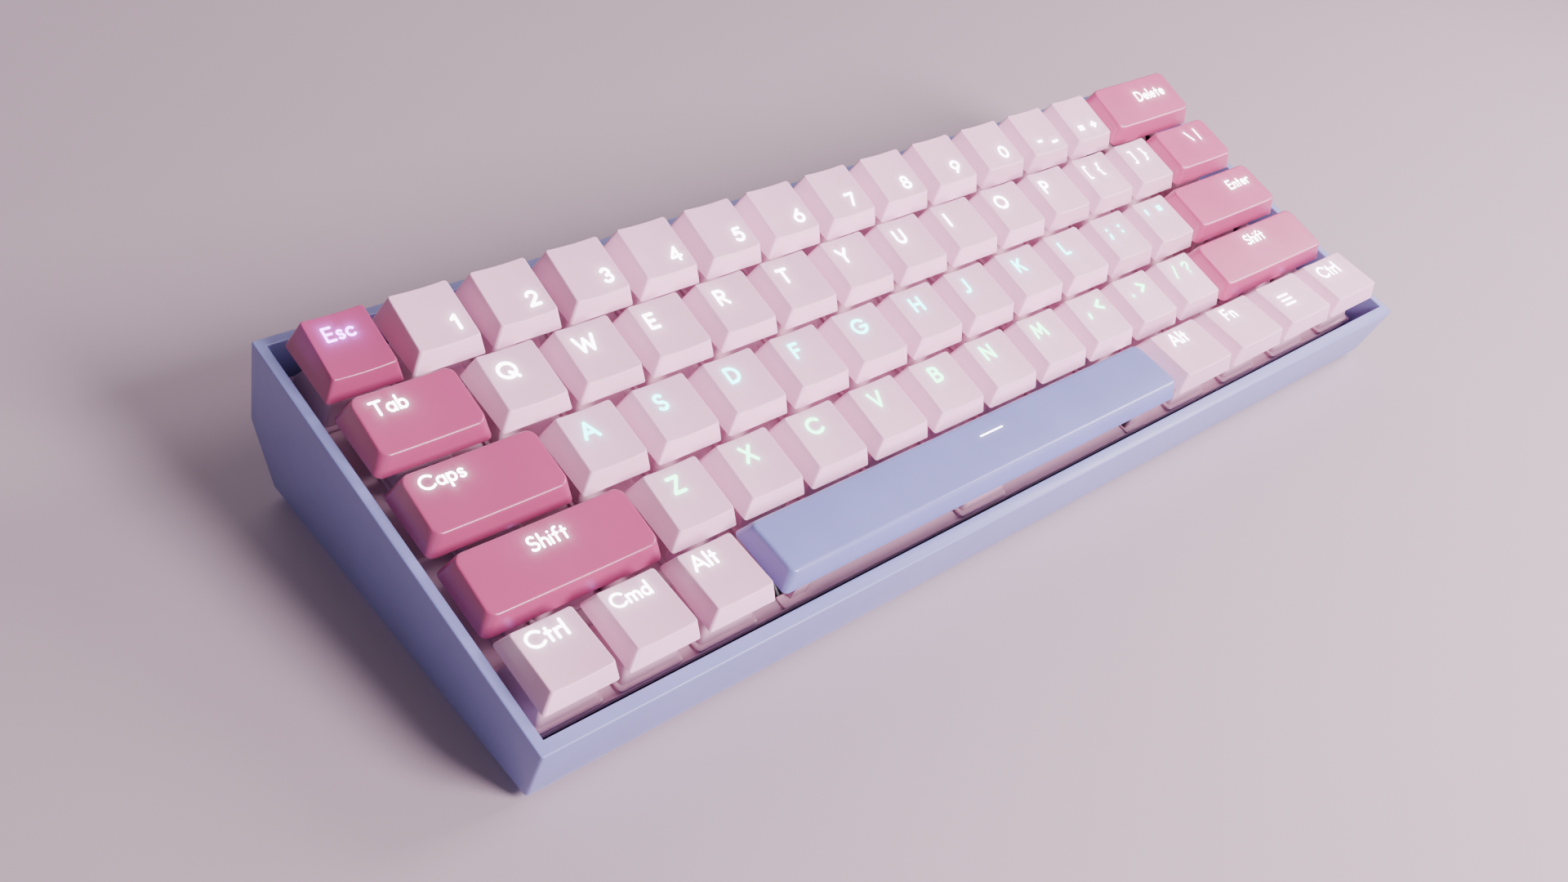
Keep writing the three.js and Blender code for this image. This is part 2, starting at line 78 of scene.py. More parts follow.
# the space bar's wire turns on its long bar, whose place on the deck is known
turn = JOINTS["wire_turn_space"]["pos_m"]
turn_x, turn_y = 6.5 * PITCH, 0.5 * PITCH - WIRE_REACH
ORIGIN = (turn[0] - turn_x * 1e-3,
          turn[1] - (turn_y * COS - WIRE_Z * SIN) * 1e-3,
          turn[2] - (turn_y * SIN + WIRE_Z * COS) * 1e-3)


def to_world(points):
    """Deck millimetres to world metres, for an (n, 3) array."""
    p = np.asarray(points, float).reshape(-1, 3)
    return np.stack([ORIGIN[0] + p[:, 0] * 1e-3,
                     ORIGIN[1] + (p[:, 1] * COS - p[:, 2] * SIN) * 1e-3,
                     ORIGIN[2] + (p[:, 1] * SIN + p[:, 2] * COS) * 1e-3], 1)


def to_deck(points):
    """World metres to deck millimetres, for an (n, 3) array."""
    p = np.asarray(points, float).reshape(-1, 3)
    y, z = (p[:, 1] - ORIGIN[1]) * 1e3, (p[:, 2] - ORIGIN[2]) * 1e3
    return np.stack([(p[:, 0] - ORIGIN[0]) * 1e3, y * COS + z * SIN, -y * SIN + z * COS], 1)


# ----------------------------------------------------------------- the keys
# One entry per row, front to rear.
SKIRT = [1.2, -0.9, -0.3, 1.4, 2.6]  # height of the skirt's lower edge
SCULPT = [[6.4, 5.6], [4.0, 5.1], [5.0, 6.1], [6.2, 7.7], [7.8, 10.1]]  # top at front, at rear
STAGGER = [0, 0.05, 0.1, -0.02, 0]  # units the first key gains and the last one loses
# (key, width in units)
ROWS = [
    [("ctrl_left", 1), ("super", 1), ("alt_left", 1), ("space", 7), ("alt_right", 1.25),
     ("fn", 1.25), ("menu", 1.25), ("ctrl_right", 1.25)],
    [("shift_left", 2.25)] + [(c, 1) for c in "zxcvbnm"]
    + [("comma", 1), ("period", 1), ("slash", 1), ("shift_right", 2.75)],
    [("caps", 1.75)] + [(c, 1) for c in "asdfghjkl"]
    + [("semicolon", 1), ("quote", 1), ("enter", 2.25)],
    [("tab", 1.5)] + [(c, 1) for c in "qwertyuiop"]
    + [("bracket_left", 1), ("bracket_right", 1), ("backslash", 1.5)],
    [("esc", 1)] + [(c, 1) for c in "1234567890"] + [("minus", 1), ("equal", 1), ("delete", 2)],
]
# keys that move as one body
GROUPED = {"keys_number_row": list("1234567890") + ["minus", "equal"],
           "keys_bottom_left": ["ctrl_left", "super", "alt_left"],
           "keys_bottom_right": ["alt_right", "fn", "menu", "ctrl_right"]}
WIDE = {"tab", "caps", "shift_left", "shift_right", "enter", "backslash", "delete"}
# stabilised keys: from the key's middle to each stabiliser
STAB = {"delete": 11.94, "enter": 11.94, "shift_left": 11.94, "shift_right": 11.94,
        "space": 57.15}

Key = namedtuple("Key", "name row units x y node")


def lay_out_keys():
    keys = []
    for row, entries in enumerate(ROWS):
        left = 0.0
        for i, (name, units) in enumerate(entries):
            units += STAGGER[row] * (1 if i == 0 else -1 if i == len(entries) - 1 else 0)
            node = next((g for g, members in GROUPED.items() if name in members), "key_" + name)
            keys.append(Key(name, row, units, (left + units / 2) * PITCH, (row + 0.5) * PITCH,
                            node))
            left += units
    return keys


KEYS = lay_out_keys()
KEYS_OF_NODE = {}
for key in KEYS:
    KEYS_OF_NODE.setdefault(key.node, []).append(key)


def tone_of(key):
    """The colour of light under a key."""
    if key.name == "esc":
        return "violet"
    if key.name in WIDE or key.row in (0, 3, 4):
        return "white"
    return "cyan" if key.row == 2 else "mint"


def stabilisers(key):
    """(side, deck x) of a key's stabilisers: side is -1 on the left, 1 on the right."""
    return [(side, key.x + side * STAB[key.name]) for side in (-1, 1) if key.name in STAB]


def post_bottom(row):
    """Lower end of the post inside a cap."""
    return max(STEM_BOTTOM + 2.2, SKIRT[row] - 0.9)


# ---------------------------------------------------------------- materials
class Nodes:
    """A principled material and short calls for building its nodes."""

    def __init__(self, name):
        self.mat = bpy.data.materials.new(name)
        self.mat.use_nodes = True
        self.tree = self.mat.node_tree
        self.tree.nodes.clear()
        self.out = self.tree.nodes.new("ShaderNodeOutputMaterial")
        self.bsdf = self.tree.nodes.new("ShaderNodeBsdfPrincipled")
        self.tree.links.new(self.bsdf.outputs[0], self.out.inputs["Surface"])
        self.coord = self.add("ShaderNodeTexCoord").outputs["Object"]

    def add(self, kind, **props):
        node = self.tree.nodes.new(kind)
        for name, value in props.items():
            setattr(node, name, value)
        return node

    def put(self, socket, value):
        """Link a socket, or set a plain value."""
        if isinstance(value, bpy.types.NodeSocket):
            self.tree.links.new(value, socket)
        else:
            socket.default_value = value

    def noise(self, scale, detail=3.0, rough=0.5, coord=None, distortion=0.0):
        node = self.add("ShaderNodeTexNoise")
        self.put(node.inputs["Vector"], coord or self.coord)
        node.inputs["Scale"].default_value = scale
        node.inputs["Detail"].default_value = detail
        node.inputs["Roughness"].default_value = rough
        node.inputs["Distortion"].default_value = distortion
        return node.outputs["Fac"]

    def remap(self, value, to, span=(0.3, 0.7)):
        """Map value from span onto the range to."""
        node = self.add("ShaderNodeMapRange")
        self.put(node.inputs["Value"], value)
        for name, number in zip(("From Min", "From Max", "To Min", "To Max"), (*span, *to)):
            self.put(node.inputs[name], number)
        return node.outputs["Result"]

    def math(self, op, a, b=0.0):
        node = self.add("ShaderNodeMath", operation=op)
        self.put(node.inputs[0], a)
        self.put(node.inputs[1], b)
        return node.outputs[0]

    def mix(self, factor, a, b):
        node = self.add("ShaderNodeMix", data_type="RGBA")
        self.put(node.inputs["Factor"], factor)
        self.put(node.inputs["A"], (*a, 1) if isinstance(a, tuple) else a)
        self.put(node.inputs["B"], (*b, 1) if isinstance(b, tuple) else b)
        return node.outputs["Result"]

    def shades(self, value, colour, dark, light):
        """The colour, from dark to light times its strength, as value rises."""
        return self.mix(self.remap(value, to=(0, 1)), scaled(colour, dark), scaled(colour, light))

    def bump(self, height, strength, distance):
        node = self.add("ShaderNodeBump")
        self.put(node.inputs["Height"], height)
        node.inputs["Strength"].default_value = strength
        node.inputs["Distance"].default_value = distance
        return node.outputs["Normal"]

    def set(self, **values):
        """Fill shader inputs, named with underscores for spaces."""
        for name, value in values.items():
            if isinstance(value, tuple):
                value = (*value, 1)
            self.put(self.bsdf.inputs[name.replace("_", " ")], value)


def scaled(colour, factor):
    return tuple(min(1.0, max(0.0, c * factor)) for c in colour)


def moulded(name, colour, rough, grain=2600.0, grain_bump=0.10, mottle=0.05, coat=0.0,
            coat_rough=0.15, spec=0.5, edge_wear_and_highlight=0.0):
    """Moulded plastic: fine grain, slow colour and gloss variation, worn glossier edges with a
    painted highlight.
    """
    m = Nodes(name)
    slow = m.noise(scale=55.0, detail=2.0)
    fine = m.noise(scale=grain, detail=2.0, rough=0.6)
    streak = m.noise(scale=260.0, detail=2.0)
    base = m.shades(slow, colour, dark=1 - mottle, light=1 + mottle)
    base = m.mix(m.remap(fine, span=(0.35, 0.75), to=(0.0, 0.06)), base, scaled(colour, 0.92))
    gloss = m.remap(streak, span=(0.3, 0.72), to=(rough - 0.025, rough + 0.03))
    # painted highlight: sharp convex edges are lightened in colour; the lower roughness there is
    # wear
    if edge_wear_and_highlight:
        pointed = m.add("ShaderNodeNewGeometry").outputs["Pointiness"]
        edge = m.remap(pointed, span=(0.52, 0.60), to=(0.0, edge_wear_and_highlight))
        base = m.mix(edge, base, scaled(colour, 1.25))
        gloss = m.math("SUBTRACT", gloss, m.math("MULTIPLY", edge, 0.15))
    m.set(Base_Color=base, Roughness=gloss, Specular_IOR_Level=spec,
          Normal=m.bump(fine, strength=grain_bump, distance=2.5e-5))
    if coat:
        m.set(Coat_Weight=coat, Coat_Roughness=coat_rough)
    return m


# legend light: its colour and emission strength
TONE_RGB = {"white": (1.0, 0.93, 1.0), "cyan": (0.14, 0.98, 1.0), "mint": (0.26, 1.0, 0.56),
            "violet": (0.62, 0.16, 1.0)}
TONE_SHINE = {"white": 11.0, "cyan": 8.0, "mint": 8.0, "violet": 13.0}


def halo(m, tone, strength):
    """Light bleeding through the cap round its legend, from the mesh attribute 'glow'."""
    glow = m.add("ShaderNodeAttribute", attribute_name="glow").outputs["Fac"]
    m.set(Emission_Color=TONE_RGB[tone], Emission_Strength=m.math("MULTIPLY", glow, strength))
    return m.mat


def pale_cap(tone):
    m = moulded("cap_pale_" + tone, colour=(0.70, 0.405, 0.55), rough=0.42, spec=0.45, coat=0.08,
                coat_rough=0.3)
    return halo(m, tone, strength=0.75)


def glossy_cap(name, colour, tone, glow, coat=0.35, coat_rough=0.16):
    m = moulded(name, colour, rough=0.30, coat=coat, coat_rough=coat_rough, grain_bump=0.02)
    return halo(m, tone, strength=glow)


def stem_material():
    """Plunger plastic: swirled purple resin with darker flecks."""
    m = Nodes("switch_plunger")
    colour = (0.42, 0.22, 0.52)
    swirl = m.noise(scale=420.0, rough=0.55, distortion=1.2)
    base = m.shades(swirl, colour, dark=0.9, light=1.08)
    flecks = m.remap(m.noise(scale=2600.0, detail=2.0), span=(0.4, 0.75), to=(0.0, 0.12))
    m.set(Base_Color=m.mix(flecks, base, scaled(colour, 0.8)), Roughness=0.34)
    return m.mat


def legend_material(tone):
    # painted light: the legend glows with the light under it, and its base colour is tinted with
    # that light's colour too
    m = Nodes("legend_" + tone)
    colour, shine = TONE_RGB[tone], TONE_SHINE[tone]
    cloud = m.noise(scale=900.0, detail=2.0)
    m.set(Base_Color=m.mix(cloud, scaled(colour, 0.85), scaled(colour, 1.0)), Roughness=0.34,
          Emission_Color=colour,
          Emission_Strength=m.remap(cloud, to=(shine * 0.92, shine * 1.08)))
    return m.mat


def plate_material():
    """Pink powder coat with a fine orange peel."""
    m = Nodes("plate_powder_coat")
    peel = m.noise(scale=1500.0, detail=2.0)
    slow = m.noise(scale=40.0)
    m.set(Base_Color=m.shades(slow, (0.68, 0.42, 0.52), dark=0.93, light=1.05),
          Roughness=m.remap(peel, to=(0.42, 0.55)),
          Normal=m.bump(peel, strength=0.25, distance=4e-5))
    return m.mat


def board_material():
    """Dark solder mask over fine parallel tracks, which run two ways in different cells."""
    m = Nodes("board_mask")
    split = m.add("ShaderNodeSeparateXYZ")
    m.put(split.inputs[0], m.coord)
    voronoi = m.add("ShaderNodeTexVoronoi", feature="F1")
    m.put(voronoi.inputs["Vector"], m.coord)
    voronoi.inputs["Scale"].default_value = 120.0
    cell = voronoi.outputs["Distance"]
    lines_per_metre, line_share = 620.0, 0.28

    def lines(axis):
        phase = m.math("FRACT", m.math("MULTIPLY", split.outputs[axis], lines_per_metre))
        return m.math("LESS_THAN", phase, line_share)

    tracks = m.math("MAXIMUM",
                    m.math("MULTIPLY", lines("X"), m.math("GREATER_THAN", cell, 0.55)),
                    m.math("MULTIPLY", lines("Y"), m.math("LESS_THAN", cell, 0.35)))
    m.set(Base_Color=m.mix(tracks, (0.030, 0.018, 0.050), (0.085, 0.050, 0.130)),
          Roughness=m.remap(m.noise(scale=800.0), to=(0.22, 0.36)),
          Normal=m.bump(tracks, strength=0.4, distance=4e-5))
    return m.mat


def steel_material(name, bright, rough):
    """Steel drawn along x, faintly stained."""
    m = Nodes(name)
    stretch = m.add("ShaderNodeMapping")
    m.put(stretch.inputs["Vector"], m.coord)
    stretch.inputs["Scale"].default_value = (60.0, 2600.0, 2600.0)
    drawn = m.noise(scale=1.0, rough=0.6, coord=stretch.outputs[0])
    stain = m.noise(scale=160.0, detail=4.0)
    colour = scaled((0.62, 0.62, 0.65), bright)
    m.set(Base_Color=m.mix(m.remap(stain, span=(0.35, 0.7), to=(0, 1)), colour,
                           scaled(colour, 0.82)),
          Metallic=1.0, Roughness=m.remap(drawn, to=(rough - 0.08, rough + 0.1)),
          Normal=m.bump(drawn, strength=0.15, distance=2e-5))
    return m.mat


def rubber_material():
    m = Nodes("foot_rubber")
    grain = m.noise(scale=1800.0, rough=0.7)
    dust = m.noise(scale=240.0, detail=4.0)
    m.set(Base_Color=m.mix(m.remap(dust, span=(0.45, 0.8), to=(0, 0.5)),
                           (0.030, 0.030, 0.036), (0.085, 0.082, 0.088)),
          Roughness=m.remap(grain, to=(0.78, 0.95)),
          Normal=m.bump(grain, strength=0.5, distance=5e-5))
    return m.mat


def led_material():
    m = Nodes("led_lens")
    cloud = m.noise(scale=700.0)
    m.set(Base_Color=m.mix(cloud, (0.8, 0.7, 0.9), (0.95, 0.9, 1.0)), Roughness=0.2,
          Emission_Color=(0.55, 0.32, 1.0), Emission_Strength=m.remap(cloud, to=(5.0, 8.0)))
    return m.mat


MATS = {"alpha_" + tone: pale_cap(tone) for tone in TONE_RGB}
MATS["accent"] = glossy_cap("cap_pink", colour=(0.43, 0.068, 0.185), tone="white", glow=0.42)
MATS["esc"] = glossy_cap("cap_rose", colour=(0.375, 0.056, 0.158), tone="violet", glow=1.1)
MATS["bar"] = glossy_cap("cap_space", colour=(0.225, 0.25, 0.55), tone="white", glow=0.20,
                         coat=0.30, coat_rough=0.18)
MATS["case"] = moulded("case_satin", colour=(0.245, 0.268, 0.55), rough=0.40, grain=3200.0,
                       grain_bump=0.07, mottle=0.03, coat=0.12, coat_rough=0.3, edge_wear_and_highlight=0.35).mat
MATS["housing"] = moulded("switch_top_shell", colour=(0.66, 0.40, 0.50), rough=0.34,
                          grain_bump=0.03, coat=0.1).mat
MATS["stem"] = stem_material()
MATS["foam"] = moulded("pad_foam", colour=(0.03, 0.028, 0.04), rough=0.9, grain=900.0,
                       grain_bump=0.6).mat
MATS["chip"] = moulded("chip_epoxy", colour=(0.018, 0.018, 0.02), rough=0.55, grain=5200.0,
                       grain_bump=0.25).mat
for tone in TONE_RGB:
    MATS["legend_" + tone] = legend_material(tone)
MATS["plate"] = plate_material()
MATS["board"] = board_material()
MATS["wire"] = steel_material("wire_steel", bright=0.15, rough=0.48)
MATS["rubber"] = rubber_material()
MATS["led"] = led_material()
MATS["shell"] = steel_material("socket_steel", bright=0.9, rough=0.32)
MATS["screw"] = steel_material("screw_steel", bright=0.55, rough=0.35)


# ------------------------------------------------------------- mesh helpers
def add_object(name, data):
    obj = bpy.data.objects.new(name, data)
    bpy.context.scene.collection.objects.link(obj)
    return obj


def attach(obj, node="chassis", replaces=None):
    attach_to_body(obj, node)
    if replaces:
        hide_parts(replaces)


def shade(mesh, angle):
    """Smooth shading, with edges sharper than angle (degrees) left crisp."""
    mesh.polygons.foreach_set("use_smooth", [True] * len(mesh.polygons))
    mesh.set_sharp_from_angle(angle=math.radians(angle))


class Shape:
    """Closed parts in deck millimetres, gathered into one object."""

    def __init__(self):
        self.verts, self.faces, self.glow, self.count = [], [], [], 0

    def add(self, verts, faces, at=(0, 0, 0), glow=None):
        verts = np.asarray(verts, float).reshape(-1, 3) + np.asarray(at, float)
        self.verts.append(verts)
        self.faces += [tuple(i + self.count for i in face) for face in faces]
        self.glow.append(np.zeros(len(verts)) if glow is None else glow)
        self.count += len(verts)

    def object(self, name, material, angle=35.0):
        mesh = bpy.data.meshes.new(name)
        mesh.from_pydata(to_world(np.concatenate(self.verts)).tolist(), [], self.faces)
        mesh.materials.append(material)
        glow = np.concatenate(self.glow)
        if glow.any():
            layer = mesh.attributes.new("glow", "FLOAT", "POINT")
            layer.data.foreach_set("value", glow.astype(np.float32))
        mesh.update()
        shade(mesh, angle)
        return add_object(name, mesh)


def bands(count, n):
    """Quads joining count successive rings of n points."""
    return [(s * n + i, s * n + (i + 1) % n, (s + 1) * n + (i + 1) % n, (s + 1) * n + i)
            for s in range(count - 1) for i in range(n)]


def closed_tube(count, n):
    """Bands, and a flat face over each end."""
    return bands(count, n) + [tuple(range(n - 1, -1, -1)),
                              tuple((count - 1) * n + i for i in range(n))]


def rounded_rectangle(half_x, half_y, radius, steps):
    """Outline, counter-clockwise, of 4 (steps + 1) points."""
    radius = min(radius, half_x, half_y)
    in_x, in_y = half_x - radius, half_y - radius
    points = []
    for x, y, start in ((in_x, -in_y, -90), (in_x, in_y, 0), (-in_x, in_y, 90),
                        (-in_x, -in_y, 180)):
        for j in range(steps + 1):
            angle = math.radians(start + 90 * j / steps)
            points.append((x + radius * math.cos(angle), y + radius * math.sin(angle)))
    return points


def loft(sections, steps=3, along_y=False):
    """Closed solid through rounded rectangles (half x, half y, radius, z).

    With along_y the y and z of every section change places.
    """
    verts = [(x, z, y) if along_y else (x, y, z) for half_x, half_y, radius, z in sections
             for x, y in rounded_rectangle(half_x, half_y, radius, steps)]
    faces = closed_tube(len(sections), 4 * (steps + 1))
    if along_y:
        faces = [face[::-1] for face in faces]
    return np.array(verts), faces


def block(half_x, half_y, low, high, radius=0.4, ease=0.15, x=0.0, y=0.0, steps=2):
    """A box with rounded upright corners and eased top and bottom edges."""
    tight = (half_x - ease, half_y - ease, max(radius - ease, 0.05))
    full = (half_x, half_y, radius)
    verts, faces = loft([(*tight, low), (*full, low + ease), (*full, high - ease),
                         (*tight, high)], steps)
    return verts + (x, y, 0), faces


def lathe(profile, sides=24):
    """Solid of revolution about z from (radius, z) pairs that start and end on the axis."""
    angles = [2 * math.pi * i / sides for i in range(sides)]
    verts = [(0, 0, profile[0][1])]
    for radius, z in profile[1:-1]:
        verts += [(radius * math.cos(a), radius * math.sin(a), z) for a in angles]
    verts.append((0, 0, profile[-1][1]))
    rings = len(profile) - 2
    faces = []
    for i in range(sides):
        j = (i + 1) % sides
        faces.append((0, 1 + j, 1 + i))
        for s in range(rings - 1):
            low, high = 1 + s * sides, 1 + (s + 1) * sides
            faces.append((low + i, low + j, high + j, high + i))
        last = 1 + (rings - 1) * sides
        faces.append((last + i, last + j, 1 + rings * sides))
    return verts, faces


def bent_rod(points, radius, bend, sides=12, steps=5):
    """A round rod through points, with rounded bends and eased ends."""
    corners = [Vector(p) for p in points]
    path = [corners[0]]
    for before, corner, after in zip(corners, corners[1:], corners[2:]):
        start = corner + (before - corner).normalized() * bend
        end = corner + (after - corner).normalized() * bend
        for i in range(steps + 1):
            t = i / steps
            path.append(start * (1 - t) ** 2 + corner * 2 * t * (1 - t) + end * t * t)
    path.append(corners[-1])
    side = (path[1] - path[0]).normalized().orthogonal().normalized()
    last = len(path) - 1
    verts = []
    for i, point in enumerate(path):
        ahead = (path[min(i + 1, last)] - path[max(i - 1, 0)]).normalized()
        side = (side - ahead * side.dot(ahead)).normalized()
        up = ahead.cross(side)
        rings = [(point, radius)]
        if i == 0:
            rings = [(point, radius * 0.55), (point + ahead * radius * 0.35, radius)]
        if i == last:
            rings = [(point - ahead * radius * 0.35, radius), (point, radius * 0.55)]
        for centre, size in rings:
            for j in range(sides):
                angle = 2 * math.pi * j / sides
                verts.append(tuple(centre + side * (size * math.cos(angle))
                                   + up * (size * math.sin(angle))))
    return verts, closed_tube(len(verts) // sides, sides)


# ---------------------------------------------------------------- lettering
def arc(x, y, radius_x, radius_y, start, end, steps=16):
    """Points along an ellipse, from start to end in degrees."""
    return [(x + radius_x * math.cos(math.radians(start + (end - start) * i / steps)),
             y + radius_y * math.sin(math.radians(start + (end - start) * i / steps)))
            for i in range(steps + 1)]


def dot(x, y):
    return [(x, y), (x + 0.001, y)]


P_BOWL = [(0, 0), (0, 1)] + arc(0.27, 0.74, 0.30, 0.26, 90, -90) + [(0, 0.48)]
O_RING = arc(0.5, 0.5, 0.5, 0.5, 0, 360, 32)
SMALL_RING = arc(0.24, 0.3, 0.24, 0.3, 0, 360, 22)
SMALL_ARCH = arc(0.21, 0.36, 0.21, 0.24, 180, 0) + [(0.42, 0)]
